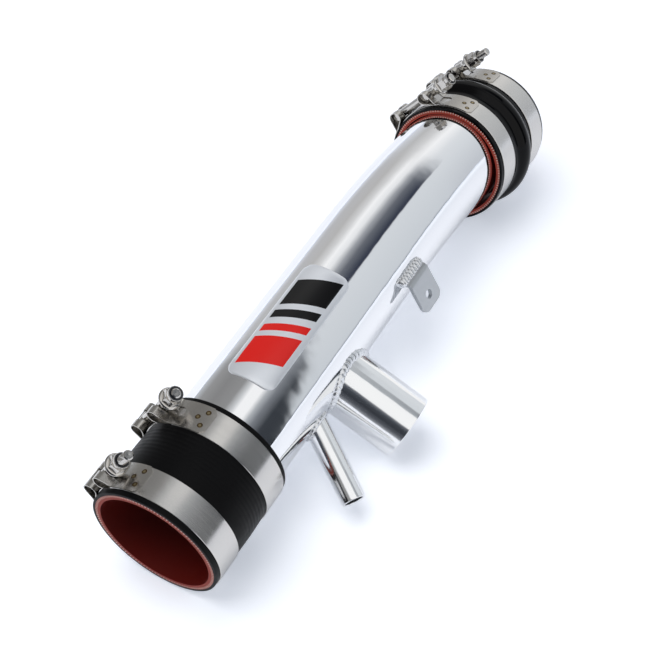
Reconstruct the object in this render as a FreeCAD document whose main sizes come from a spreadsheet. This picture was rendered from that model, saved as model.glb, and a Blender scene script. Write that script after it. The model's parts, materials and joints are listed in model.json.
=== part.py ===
import FreeCAD, Part
import math
import os

import Sketcher
from FreeCAD import Placement, Rotation, Vector

# Short ram air intake. The straight part of the tube lies on +X with the straight coupler's mouth
# at x = 0, +Y to the left and +Z up; one rest placement then stands the whole part on the table.

SIZES = [
    ("tube_od", 76.2, "tube outside diameter"),
    ("tube_wall", 1.8, "tube wall"),
    ("tube_start", 40.0, "tube end inside the straight coupler, from its mouth"),
    ("bend_start", 254.6, "end of the straight part, from the mouth"),
    ("bend_radius", 542.0, "centre line radius of the bend"),
    ("bend_turn", 13.0, "turn of the bend, degrees"),
    ("bend_lean", 3.0, "lean of the bend's plane to the right, degrees"),
    ("tube_insert", 25.0, "tube inside the hump coupler"),
    ("seat_gap", 0.1, "gap between nested round faces"),
    ("coupler_length", 76.2, "length of each coupler"),
    ("spigot_ease", 0.6, "free bore of the straight coupler inside the tube radius"),
    ("liner_wall", 2.8, "red liner"),
    ("cover_wall", 1.9, "black cover"),
    ("hump_ease", 2.0, "bore of the hump coupler outside the tube radius"),
    ("hump_rise", 5.6, "height of the hump"),
    ("hump_crest", 9.0, "crest radius of the hump, outside"),
    ("hump_root", 6.0, "root radius of the hump, outside"),
    ("port_od", 44.5, "large port outside diameter"),
    ("port_wall", 4.8, "large port wall"),
    ("port_reach", 87.0, "large port end, from the tube axis"),
    ("port_place", 163.8, "large port along the tube"),
    ("port_dip", 24.0, "ports below level, degrees"),
    ("nipple_od", 16.0, "small port outside diameter"),
    ("nipple_wall", 2.0, "small port wall"),
    ("nipple_length", 53.3, "small port past the tube surface"),
    ("nipple_place", 125.7, "small port along the tube, at the surface"),
    ("nipple_tilt", 30.9, "small port lean to the near end, degrees"),
    ("bead_width", 2.8, "weld bead round each fitting"),
    ("bead_height", 2.4, "weld bead above the tube"),
    ("foot_relief", 0.3, "each port's foot is this much slimmer up to its bead"),
    ("foot_clear", 0.4, "port foot above its bead"),
    ("bracket_width", 23.0, "bracket along the tube"),
    ("bracket_plate", 3.0, "bracket thickness"),
    ("bracket_sink", 2.0, "start of the bracket leg under the tube surface, before it is trimmed"),
    ("bracket_leg", 6.0, "bracket leg, out from the tube surface"),
    ("bracket_tab", 26.0, "bracket tab length"),
    ("bracket_corner", 5.5, "bracket corner radius"),
    ("bracket_bore", 6.6, "bracket hole diameter"),
    ("bracket_place", 247.0, "bracket along the tube"),
    ("bracket_rise", 14.0, "bracket leg above level, degrees"),
    ("bracket_fall", 62.0, "bracket tab below level, degrees"),
    ("badge_length", 100.0, "badge along the tube"),
    ("badge_width", 34.0, "badge across the tube"),
    ("badge_corner", 7.0, "badge corner radius"),
    ("badge_height", 2.2, "badge height above the tube"),
    ("badge_place", 153.0, "badge middle along the tube"),
    ("badge_lean", 4.0, "badge middle right of the top, degrees"),
    ("band_width", 19.0, "clamp band width"),
    ("band_sheet", 0.65, "clamp band thickness"),
    ("band_inset", 3.5, "band edge to coupler end"),
    ("loop_radius", 4.6, "clamp loop outside radius"),
    ("bolt_clear", 0.95, "bolt above the bridge plate"),
    ("strap_turn", 29.5, "folded strap past where the band leaves the hose, degrees"),
    ("slot_turn", 5.2, "slot in the strap past where the band leaves the hose, degrees"),
    ("slot_lift", 0.02, "slot floor above the band"),
    ("slot_width", 8.2, "slot width"),
    ("bridge_sheet", 0.5, "bridge plate thickness"),
    ("bridge_width", 16.0, "bridge plate along the hose"),
    ("bridge_gap", 0.15, "gap between the bridge plate's ends and the band"),
    ("barrel_radius", 3.4, "T head and trunnion barrel radius"),
    ("barrel_length", 12.0, "T head and trunnion barrel length"),
    ("bolt_radius", 2.75, "bolt shank radius"),
    ("thread_gap", 0.1, "gap round the bolt shank"),
    ("neck_radius", 3.7, "trunnion neck radius"),
    ("neck_length", 13.5, "trunnion neck, from the loop centre"),
    ("flange_radius", 7.0, "nut flange radius"),
    ("flange_height", 1.5, "nut flange height"),
    ("hex_radius", 5.77, "nut hexagon corner radius"),
    ("hex_height", 6.0, "nut hexagon height"),
    ("collar_radius", 5.0, "nut collar radius"),
    ("collar_height", 3.2, "nut collar height"),
    ("insert_radius", 4.3, "nylon ring radius"),
    ("insert_height", 2.0, "nylon ring height"),
    ("near_front_offset", 9.0, "near front clamp: loops from the middle of the gap"),
    ("near_front_tail", 12.0, "near front clamp: bolt past its nut"),
    ("near_front_turn", 57.0, "near front clamp: left of the top, degrees"),
    ("near_rear_offset", 14.5, "near rear clamp: loops from the middle of the gap"),
    ("near_rear_tail", 1.0, "near rear clamp: bolt past its nut"),
    ("near_rear_turn", 57.0, "near rear clamp: left of the top, degrees"),
    ("far_front_offset", 15.5, "far front clamp: loops from the middle of the gap"),
    ("far_front_tail", 1.5, "far front clamp: bolt past its nut"),
    ("far_front_turn", 47.0, "far front clamp: left of the top, degrees"),
    ("far_rear_offset", 11.0, "far rear clamp: loops from the middle of the gap"),
    ("far_rear_tail", 8.0, "far rear clamp: bolt past its nut"),
    ("far_rear_turn", 44.0, "far rear clamp: left of the top, degrees"),
    ("rest_pitch", 4.32, "far end raised in the rest pose, degrees"),
]

X_AXIS = Vector(1, 0, 0)
Y_AXIS = Vector(0, 1, 0)
Z_AXIS = Vector(0, 0, 1)
ALONG_X = Rotation(Y_AXIS, 90)
SHEET = "Sizes."

document = FreeCAD.newDocument("short_ram_air_intake")
sheet = document.addObject("Spreadsheet::Sheet", "Sizes")
for row, (alias, value, note) in enumerate(SIZES, start=1):
    sheet.set(f"A{row}", note)
    sheet.set(f"B{row}", str(value))
    sheet.setAlias(f"B{row}", alias)
document.recompute()
size = {alias: float(sheet.get(alias)) for alias, _, _ in SIZES}
nodes = []

TUBE_RADIUS = "Sizes.tube_od / 2"
LINER_RADIUS = "(Sizes.tube_od / 2 + Sizes.seat_gap)"
STRAIGHT_RADIUS = LINER_RADIUS + " + Sizes.liner_wall + Sizes.cover_wall"
HUMP_RADIUS = "(Sizes.tube_od / 2 + Sizes.hump_ease) + Sizes.liner_wall + Sizes.cover_wall"


def solid(kind, name, place=Placement(), **bindings):
    """One document object with its properties bound to the sheet."""
    item = document.addObject("Part::" + kind, name)
    for prop, text in bindings.items():
        item.setExpression(prop, text)
    item.Placement = place
    return item


def cut(name, base, tool):
    """Base less tool."""
    item = document.addObject("Part::Cut", name)
    item.Base, item.Tool = base, tool
    return item


def fuse(name, *parts):
    """All parts as one."""
    item = document.addObject("Part::MultiFuse", name)
    item.Shapes = list(parts)
    item.Refine = True
    return item


def common(name, *parts):
    """What all parts share."""
    item = document.addObject("Part::MultiCommon", name)
    item.Shapes = list(parts)
    return item


def node(item, label, place=Placement()):
    """Keep an object as one exported sub-part."""
    item.Label = label
    nodes.append((item, place))
    return item


def middle(x, y, z, length):
    """Placement of a cylinder along X centred at a point."""
    return Placement(Vector(x - length / 2, y, z), ALONG_X)


def disc(name, radius, length, place):
    """Cylinder from two bound sizes."""
    return solid("Cylinder", name, place, Radius=radius, Height=length)


def sector(name, radius, width, start, sweep):
    """Slice of a cylinder on X, from start degrees past +Z to the left, running to the right."""
    turn = Rotation(X_AXIS, 180 - start).multiply(ALONG_X)
    place = Placement(Vector(-size[width] / 2, 0, 0), turn)
    return solid("Cylinder", name, place, Radius=radius, Height=SHEET + width, Angle=sweep)


def plane_of(body, role):
    """Origin plane of a body by its role."""
    return next(item for item in body.Origin.OriginFeatures if item.Role == role)


def sketch_on(body, name, role):
    """Empty sketch on an origin plane of the body."""
    sketch = body.newObject("Sketcher::SketchObject", name)
    sketch.AttachmentSupport = [(plane_of(body, role), "")]
    sketch.MapMode = "FlatFace"
    return sketch


def bind(sketch, text, *constraint):
    """Add one constraint driven by the sheet."""
    index = sketch.addConstraint(Sketcher.Constraint(*constraint))
    sketch.setExpression(f"Constraints[{index}]", text)


def ring_sketch(sketch, outer, outer_text, inner, inner_text):
    """Two circles about the sketch origin."""
    for radius, text in ((outer, outer_text), (inner, inner_text)):
        circle = sketch.addGeometry(Part.Circle(Vector(), Z_AXIS, radius))
        sketch.addConstraint(Sketcher.Constraint("Coincident", circle, 3, -1, 1))
        bind(sketch, text, "Radius", circle, radius)


def body_tool(body, kind, name, place, **bindings):
    """Primitive added to or taken from a body."""
    item = body.newObject("PartDesign::" + kind, name)
    for prop, text in bindings.items():
        item.setExpression(prop, text)
    item.Placement = place
    return item


# Places and directions that several pieces share.
tube_radius = size["tube_od"] / 2
turn = math.radians(size["bend_turn"])
lean = Rotation(X_AXIS, -size["bend_lean"])
bend_end = Vector(size["bend_start"] + size["bend_radius"] * math.sin(turn), 0,
                  -size["bend_radius"] * (1 - math.cos(turn)))
hump_turn = lean.multiply(Rotation(Y_AXIS, size["bend_turn"]))
hump_drop = size["hump_ease"] - size["seat_gap"]
hump_mouth = lean.multVec(bend_end).add(hump_turn.multVec(Vector(0, 0, -hump_drop)))
HUMP_PLACE = Placement(hump_mouth, hump_turn)

dip = math.radians(size["port_dip"])
tilt = math.radians(size["nipple_tilt"])
PORT_OUT = Vector(0, -math.cos(dip), -math.sin(dip))
PORT_FOOT = Vector(size["port_place"], 0, 0)
NIPPLE_OUT = Vector(-math.sin(tilt), PORT_OUT.y * math.cos(tilt), PORT_OUT.z * math.cos(tilt))
NIPPLE_FOOT = Vector(size["nipple_place"] + tube_radius * math.tan(tilt), 0, 0)
NIPPLE_REACH = f"({TUBE_RADIUS}) / cos(Sizes.nipple_tilt * 1 deg) + Sizes.nipple_length"


def outward(foot, direction):
    """Placement whose Z runs out along a fitting."""
    return Placement(foot, Rotation(Z_AXIS, direction))


PORT_PLACE = outward(PORT_FOOT, PORT_OUT)
NIPPLE_PLACE = outward(NIPPLE_FOOT, NIPPLE_OUT)
PORT_BORE = "Sizes.port_od / 2 - Sizes.port_wall"
NIPPLE_BORE = "Sizes.nipple_od / 2 - Sizes.nipple_wall"


def build_tube():
    """Tube swept along a line, an arc and a line, with the two port holes."""
    body = document.addObject("PartDesign::Body", "TubeBody")
    path = sketch_on(body, "TubePath", "XZ_Plane")
    path.AttachmentOffset = Placement(Vector(), Rotation(X_AXIS, -size["bend_lean"]))
    centre = Vector(size["bend_start"], -size["bend_radius"], 0)
    arc_start = Vector(bend_end.x, bend_end.z, 0)
    tail = Vector(math.cos(turn), -math.sin(turn), 0).multiply(size["tube_insert"])
    path.addGeometry(Part.LineSegment(Vector(size["tube_start"], 0, 0), Vector(size["bend_start"], 0, 0)))
    path.addGeometry(Part.ArcOfCircle(Part.Circle(centre, Z_AXIS, size["bend_radius"]),
                                      math.pi / 2 - turn, math.pi / 2))
    path.addGeometry(Part.LineSegment(arc_start, arc_start.add(tail)))
    path.addConstraint(Sketcher.Constraint("PointOnObject", 0, 1, -1))
    path.addConstraint(Sketcher.Constraint("Horizontal", 0))
    path.addConstraint(Sketcher.Constraint("Tangent", 0, 2, 1, 2))
    path.addConstraint(Sketcher.Constraint("Tangent", 1, 1, 2, 1))
    bind(path, "Sizes.tube_start", "DistanceX", -1, 1, 0, 1, size["tube_start"])
    bind(path, "Sizes.bend_start", "DistanceX", -1, 1, 0, 2, size["bend_start"])
    bind(path, "Sizes.bend_radius", "Radius", 1, size["bend_radius"])
    bind(path, "-Sizes.bend_turn * 1 deg", "Angle", 2, -turn)
    bind(path, "Sizes.tube_insert", "Distance", 2, size["tube_insert"])
    ring = sketch_on(body, "TubeRing", "YZ_Plane")
    ring.AttachmentOffset = Placement(Vector(0, 0, size["tube_start"]), Rotation())
    ring.setExpression("AttachmentOffset.Base.z", "Sizes.tube_start")
    ring_sketch(ring, tube_radius, TUBE_RADIUS, tube_radius - size["tube_wall"],
                "Sizes.tube_od / 2 - Sizes.tube_wall")
    document.recompute()
    pipe = body.newObject("PartDesign::AdditivePipe", "TubePipe")
    pipe.Profile = ring
    pipe.Spine = (path, ["Edge1", "Edge2", "Edge3"])
    body_tool(body, "SubtractiveCylinder", "TubePortHole", PORT_PLACE, Radius=PORT_BORE, Height="Sizes.tube_od")
    body_tool(body, "SubtractiveCylinder", "TubeNippleHole", NIPPLE_PLACE, Radius=NIPPLE_BORE,
              Height="Sizes.tube_od")
    node(body, "intake_tube")


def build_fitting(name, label, place, outer, bore, reach, slope):
    """Hollow stub whose foot is shaped to the tube and a little slimmer up to the top of its bead."""
    body = document.addObject("PartDesign::Body", name)
    spread = f"({outer} + Sizes.seat_gap + Sizes.bead_width) * tan({slope})"
    start = f"(({LINER_RADIUS} + Sizes.bead_height + Sizes.foot_clear) / cos({slope}) + {spread})"
    body_tool(body, "AdditiveCylinder", name + "Foot", place, Radius=f"{outer} - Sizes.foot_relief", Height=reach)
    angle = math.radians(size["nipple_tilt"]) if "nipple" in slope else 0.0
    radius = size["nipple_od" if angle else "port_od"] / 2
    lift = (tube_radius + size["seat_gap"] + size["bead_height"] + size["foot_clear"]) / math.cos(angle)
    lift += (radius + size["seat_gap"] + size["bead_width"]) * math.tan(angle)
    body_tool(body, "AdditiveCylinder", name + "Wall", place.multiply(Placement(Vector(0, 0, lift), Rotation())),
              Radius=outer, Height=f"{reach} - {start}")
    body_tool(body, "SubtractiveCylinder", name + "Bore", place, Radius=bore, Height=reach)
    body_tool(body, "SubtractiveCylinder", name + "Saddle", Placement(Vector(), ALONG_X), Radius=LINER_RADIUS,
              Height="Sizes.bend_start + Sizes.bend_radius")
    node(body, label)


def build_bead(name, label, blank, hole):
    """Weld bead: a blank kept only near the tube surface, less the piece it runs round."""
    reach = "Sizes.bend_start + Sizes.bend_radius"
    along = Placement(Vector(), ALONG_X)
    skin = disc(name + "_skin", LINER_RADIUS + " + Sizes.bead_height", reach, along)
    seat = disc(name + "_seat", LINER_RADIUS, reach, along)
    node(cut(name, common(name + "_blank", blank, skin), fuse(name + "_cuts", seat, hole)), label)


def build_beads():
    """Beads round the large port, the small port and the bracket's leg."""
    for name, label, place, radius in (
            ("PortBead", "large_port_weld", PORT_PLACE, "Sizes.port_od / 2 + Sizes.seat_gap"),
            ("NippleBead", "small_port_weld", NIPPLE_PLACE, "Sizes.nipple_od / 2 + Sizes.seat_gap")):
        blank = disc(name + "_round", radius + " + Sizes.bead_width", "Sizes.tube_od", place)
        build_bead(name, label, blank, disc(name + "_hole", radius, "Sizes.tube_od", place))
    rise = math.radians(size["bracket_rise"])
    out = Vector(0, -math.cos(rise), math.sin(rise))
    turn_out = Rotation(X_AXIS, Vector(), out, "ZXY")
    boxes = []
    for name, spare, text in (("BracketBead_block", size["seat_gap"] + size["bead_width"],
                               "(Sizes.seat_gap + Sizes.bead_width)"),
                              ("BracketBead_hole", size["seat_gap"], "Sizes.seat_gap")):
        corner = Vector(-size["bracket_width"] / 2 - spare, -size["bracket_plate"] / 2 - spare, 0)
        place = Placement(Vector(size["bracket_place"], 0, 0), turn_out).multiply(Placement(corner, Rotation()))
        boxes.append(solid("Box", name, place, Length=f"Sizes.bracket_width + 2 * {text}",
                           Width=f"Sizes.bracket_plate + 2 * {text}", Height="Sizes.tube_od"))
    build_bead("BracketBead", "bracket_weld", *boxes)


def build_bracket():
    """Bent tab: a leg out from the tube, a bend and a holed tab with round corners."""
    body = document.addObject("PartDesign::Body", "BracketBody")
    rise, fall = math.radians(size["bracket_rise"]), math.radians(size["bracket_fall"])
    thick, half = size["bracket_plate"], size["bracket_width"] / 2
    leg = Vector(-math.cos(rise), math.sin(rise), 0)
    leg_side = Vector(leg.y, -leg.x, 0)
    tab = Vector(-math.cos(fall), -math.sin(fall), 0)
    tab_side = Vector(tab.y, -tab.x, 0)
    root = Vector(leg).multiply(tube_radius - size["bracket_sink"])
    knee = Vector(leg).multiply(tube_radius + size["bracket_leg"])
    mitre = leg_side.add(tab_side)
    mitre.multiply(thick / 2 / mitre.dot(leg_side))
    end = knee.add(Vector(tab).multiply(size["bracket_tab"]))
    leg_half, tab_half = Vector(leg_side).multiply(thick / 2), Vector(tab_side).multiply(thick / 2)
    corners = [root.add(leg_half), knee.add(mitre), end.add(tab_half),
               end.sub(tab_half), knee.sub(mitre), root.sub(leg_half)]
    profile = sketch_on(body, "BracketProfile", "YZ_Plane")
    profile.AttachmentOffset = Placement(Vector(0, 0, size["bracket_place"]), Rotation())
    profile.setExpression("AttachmentOffset.Base.z", "Sizes.bracket_place")
    for first, second in zip(corners, corners[1:] + corners[:1]):
        profile.addGeometry(Part.LineSegment(first, second))
    for index in range(len(corners)):
        profile.addConstraint(Sketcher.Constraint("Coincident", index, 2, (index + 1) % len(corners), 1))
    document.recompute()
    pad = body.newObject("PartDesign::Pad", "BracketPad")
    pad.Profile = profile
    pad.Midplane = True
    pad.setExpression("Length", "Sizes.bracket_width")
    document.recompute()
    out = Vector(0, tab.x, tab.y)
    normal = Vector(0, tab_side.x, tab_side.y)
    tip = Vector(size["bracket_place"], end.x, end.y)
    ends = []
    for index, edge in enumerate(pad.Shape.Edges, start=1):
        along = edge.tangentAt(edge.FirstParameter)
        if abs(along.dot(normal)) > 0.999 and abs(edge.CenterOfMass.sub(tip).dot(out)) < 0.1:
            ends.append(f"Edge{index}")
    rounds = body.newObject("PartDesign::Fillet", "BracketCorners")
    rounds.Base = (pad, ends)
    rounds.setExpression("Radius", "Sizes.bracket_corner")
    hole = tip.sub(Vector(out).multiply(size["bracket_tab"] * 0.36)).sub(Vector(normal).multiply(thick * 2))
    body_tool(body, "SubtractiveCylinder", "BracketHole", outward(hole, normal),
              Radius="Sizes.bracket_bore / 2", Height="Sizes.bracket_plate * 4")
    body_tool(body, "SubtractiveCylinder", "BracketSaddle", Placement(Vector(), ALONG_X), Radius=LINER_RADIUS,
              Height="Sizes.bend_start + Sizes.bend_radius")
    node(body, "mounting_bracket")


def build_badge():
    """Rounded pad that follows the top of the tube."""
    length, width, corner = size["badge_length"], size["badge_width"], size["badge_corner"]
    body = document.addObject("PartDesign::Body", "BadgePrism")
    outline = sketch_on(body, "BadgeOutline", "XY_Plane")
    x, y = length / 2 - corner, width / 2 - corner
    arcs = [(x, y, 0), (-x, y, 90), (-x, -y, 180), (x, -y, 270)]
    sides = [((x, y + corner), (-x, y + corner)), ((-x - corner, y), (-x - corner, -y)),
             ((-x, -y - corner), (x, -y - corner)), ((x + corner, -y), (x + corner, y))]
    for (cx, cy, start), (first, second) in zip(arcs, sides):
        circle = Part.Circle(Vector(cx, cy, 0), Z_AXIS, corner)
        outline.addGeometry(Part.ArcOfCircle(circle, math.radians(start), math.radians(start + 90)))
        outline.addGeometry(Part.LineSegment(Vector(*first, 0), Vector(*second, 0)))
    for index in range(8):
        outline.addConstraint(Sketcher.Constraint("Tangent", index, 2, (index + 1) % 8, 1))
    document.recompute()
    pad = body.newObject("PartDesign::Pad", "BadgePad")
    pad.Profile = outline
    pad.setExpression("Length", "Sizes.tube_od")
    skin = disc("BadgeSkin", f"{TUBE_RADIUS} + Sizes.badge_height", "Sizes.badge_length * 1.2",
                middle(0, 0, 0, length * 1.2))
    seat = disc("BadgeSeat", LINER_RADIUS, "Sizes.badge_length * 1.4", middle(0, 0, 0, length * 1.4))
    badge = cut("Badge", common("BadgeBlank", body, skin), seat)
    node(badge, "badge", Placement(Vector(size["badge_place"], 0, 0), Rotation(X_AXIS, size["badge_lean"])))


def build_straight_coupler():
    """Liner and cover of the straight coupler; the liner is eased where the tube sits in it."""
    at_mouth = Placement(Vector(), ALONG_X)
    length = "Sizes.coupler_length"
    split = LINER_RADIUS + " + Sizes.liner_wall"
    wall = disc("liner_wall", split, length, at_mouth)
    front = disc("liner_front", "Sizes.tube_od / 2 - Sizes.spigot_ease", length, at_mouth)
    seat = disc("liner_seat", LINER_RADIUS, length,
                Placement(Vector(size["tube_start"] - size["seat_gap"], 0, 0), ALONG_X))
    node(cut("liner_ring", wall, fuse("liner_bores", front, seat)), "straight_coupler_liner")
    cover = disc("cover_wall", STRAIGHT_RADIUS, length, at_mouth)
    node(cut("cover_ring", cover, disc("cover_bore", split, length, at_mouth)), "straight_coupler_cover")


def hump_curve(sketch, depth):
    """Row of lines and arcs along the hump coupler, this deep under its outside face."""
    base = tube_radius + size["hump_ease"] + size["liner_wall"] + size["cover_wall"]
    crest, root, rise = size["hump_crest"] - depth, size["hump_root"] + depth, size["hump_rise"]
    total = size["hump_crest"] + size["hump_root"]
    reach = math.sqrt(rise * (2 * total - rise))
    swing = math.asin(reach / total)
    mid, length = size["coupler_length"] / 2, size["coupler_length"]
    low, crest_y = base - depth, base + rise - size["hump_crest"]
    root_y = base + size["hump_root"]
    first = Vector(mid - reach, low, 0)
    last = Vector(mid + reach, low, 0)
    rows = [
        Part.LineSegment(Vector(0, low, 0), first),
        Part.ArcOfCircle(Part.Circle(Vector(mid - reach, root_y, 0), Z_AXIS, root), -math.pi / 2,
                         -math.pi / 2 + swing),
        Part.ArcOfCircle(Part.Circle(Vector(mid, crest_y, 0), Z_AXIS, crest), math.pi / 2 - swing,
                         math.pi / 2 + swing),
        Part.ArcOfCircle(Part.Circle(Vector(mid + reach, root_y, 0), Z_AXIS, root), -math.pi / 2 - swing,
                         -math.pi / 2),
        Part.LineSegment(last, Vector(length, low, 0)),
    ]
    for row in rows:
        sketch.addGeometry(row)
    return Vector(0, low, 0), Vector(length, low, 0)


def build_hump_coupler():
    """Liner and cover of the hump coupler, each turned from one profile."""
    walls = {"hump_coupler_cover": (0.0, size["cover_wall"]),
             "hump_coupler_liner": (size["cover_wall"], size["cover_wall"] + size["liner_wall"])}
    for label, (top, bottom) in walls.items():
        body = document.addObject("PartDesign::Body", label + "_body")
        profile = sketch_on(body, label + "_profile", "XY_Plane")
        top_start, top_end = hump_curve(profile, top)
        low_start, low_end = hump_curve(profile, bottom)
        profile.addGeometry(Part.LineSegment(top_start, low_start))
        profile.addGeometry(Part.LineSegment(top_end, low_end))
        document.recompute()
        turned = body.newObject("PartDesign::Revolution", label + "_turned")
        turned.Profile = profile
        turned.ReferenceAxis = (profile, ["H_Axis"])
        turned.Angle = 360.0
        node(body, label, HUMP_PLACE)


def strip(name, start, along, outward_side, length):
    """Flat run of band from start along a direction, as thick as the band on its outward side."""
    face = X_AXIS.cross(along)
    lift = 0.0 if face.dot(outward_side) > 0 else -size["band_sheet"]
    corner = start.add(Vector(face).multiply(lift)).sub(Vector(size["band_width"] / 2, 0, 0))
    item = solid("Box", name, Placement(corner, Rotation(X_AXIS, along, face, "XYZ")),
                 Length="Sizes.band_width", Height="Sizes.band_sheet")
    item.Width = length
    return item


def fold_end(tag, ring, inner, offset, height, off_turn, run, side):
    """Folded end: the band leaves the hose, rounds the loop, comes down the ramp and lies on itself."""
    sheet_wall, loop = size["band_sheet"], size["loop_radius"]
    angle = math.radians(off_turn)
    up = Vector(0, side * math.sin(angle), math.cos(angle))
    back = Vector(0, side * math.cos(angle), -math.sin(angle))
    low = Vector(0, side * offset, height).sub(Vector(up).multiply(loop))
    start = off_turn + size["strap_turn"] if side > 0 else -off_turn
    pieces = [sector(tag + "_strap", f"{ring} + 2 * Sizes.band_sheet", "band_width", start, "Sizes.strap_turn"),
              disc(tag + "_loop", "Sizes.loop_radius", "Sizes.band_width",
                   middle(0, side * offset, height, size["band_width"])),
              strip(tag + "_rise", low, back, up, run)]
    foot_run, foot_rise = 2 * loop, 0.9 * sheet_wall
    gap = math.hypot(foot_run, loop - foot_rise)
    reach = math.sqrt(gap ** 2 - loop ** 2)
    bearing = math.atan2(loop - foot_rise, -foot_run) - math.asin(loop / gap)
    slope = Vector(back).multiply(math.cos(bearing)).add(Vector(up).multiply(math.sin(bearing)))
    inward = Vector(back).multiply(-math.sin(bearing)).add(Vector(up).multiply(math.cos(bearing)))
    foot = low.add(Vector(up).multiply(foot_rise)).add(Vector(back).multiply(foot_run))
    pieces.append(strip(tag + "_ramp", foot, slope, inward, reach))
    lap = run - foot_run + sheet_wall
    if lap > 0:
        lap_start = low.add(Vector(up).multiply(sheet_wall)).add(Vector(back).multiply(foot_run - sheet_wall))
        pieces.append(strip(tag + "_lap", lap_start, back, up, lap))
    eye = disc(tag + "_eye", "Sizes.loop_radius - Sizes.band_sheet", "Sizes.band_width * 1.2",
               middle(0, side * offset, height, size["band_width"] * 1.2))
    return pieces, eye, low, back, up


def clamp_band(prefix, ring, inner, offset, height):
    """Band with its two folded loops, the straps laid back on it, and the slot for the bolt."""
    width, sheet_wall, loop = size["band_width"], size["band_sheet"], size["loop_radius"]
    off_turn, run = leave_turn(inner, offset, height)
    pieces = [sector(prefix + "_hoop", f"{ring} + Sizes.band_sheet", "band_width", -off_turn,
                     f"{360 - 2 * off_turn}")]
    cuts = [disc(prefix + "_inside", ring, "Sizes.band_width * 1.2", middle(0, 0, 0, width * 1.2))]
    for side, tag in ((1, prefix + "_head"), (-1, prefix + "_nut")):
        parts, eye, low, back, up = fold_end(tag, ring, inner, offset, height, off_turn, run, side)
        pieces += parts
        cuts.append(eye)
    half = size["slot_width"] / 2
    floor = height - loop + sheet_wall + size["slot_lift"]
    shank = solid("Box", prefix + "_shank_slot", Placement(Vector(-half, -offset - 3 * loop, floor), Rotation()),
                  Length="Sizes.slot_width", Height="3 * Sizes.loop_radius")
    shank.Width = 2 * offset + 3 * loop
    corner = low.add(Vector(up).multiply(sheet_wall)).add(Vector(back).multiply(run)).sub(Vector(half, 0, 0))
    window = solid("Box", prefix + "_window", Placement(corner, Rotation(X_AXIS, back.negative(), up, "XYZ")),
                   Length="Sizes.slot_width", Height="3 * Sizes.loop_radius")
    window.Width = run
    strap_slot = cut(prefix + "_strap_slot",
                     sector(prefix + "_slot", f"{ring} + 4 * Sizes.band_sheet", "slot_width", -off_turn,
                            "Sizes.slot_turn"),
                     disc(prefix + "_slot_floor", f"{ring} + Sizes.band_sheet", "Sizes.band_width",
                          middle(0, 0, 0, width)))
    tools = fuse(prefix + "_cuts", *cuts, shank, window, strap_slot)
    return cut(prefix + "_formed", fuse(prefix + "_strip", *pieces), tools)


def leave_turn(inner, offset, height):
    """Degrees from the top at which the band leaves the hose, and its straight run to the loop."""
    out, reach = math.hypot(offset, height), inner + size["loop_radius"]
    turn_off = math.degrees(math.atan2(offset, height) + math.acos(reach / out))
    return turn_off, math.sqrt(out ** 2 - reach ** 2)


def across(y, z):
    """Placement of a cylinder that runs to the right from a point over the axis."""
    return Placement(Vector(0, y, z), Rotation(Z_AXIS, Vector(0, -1, 0)))


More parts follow.
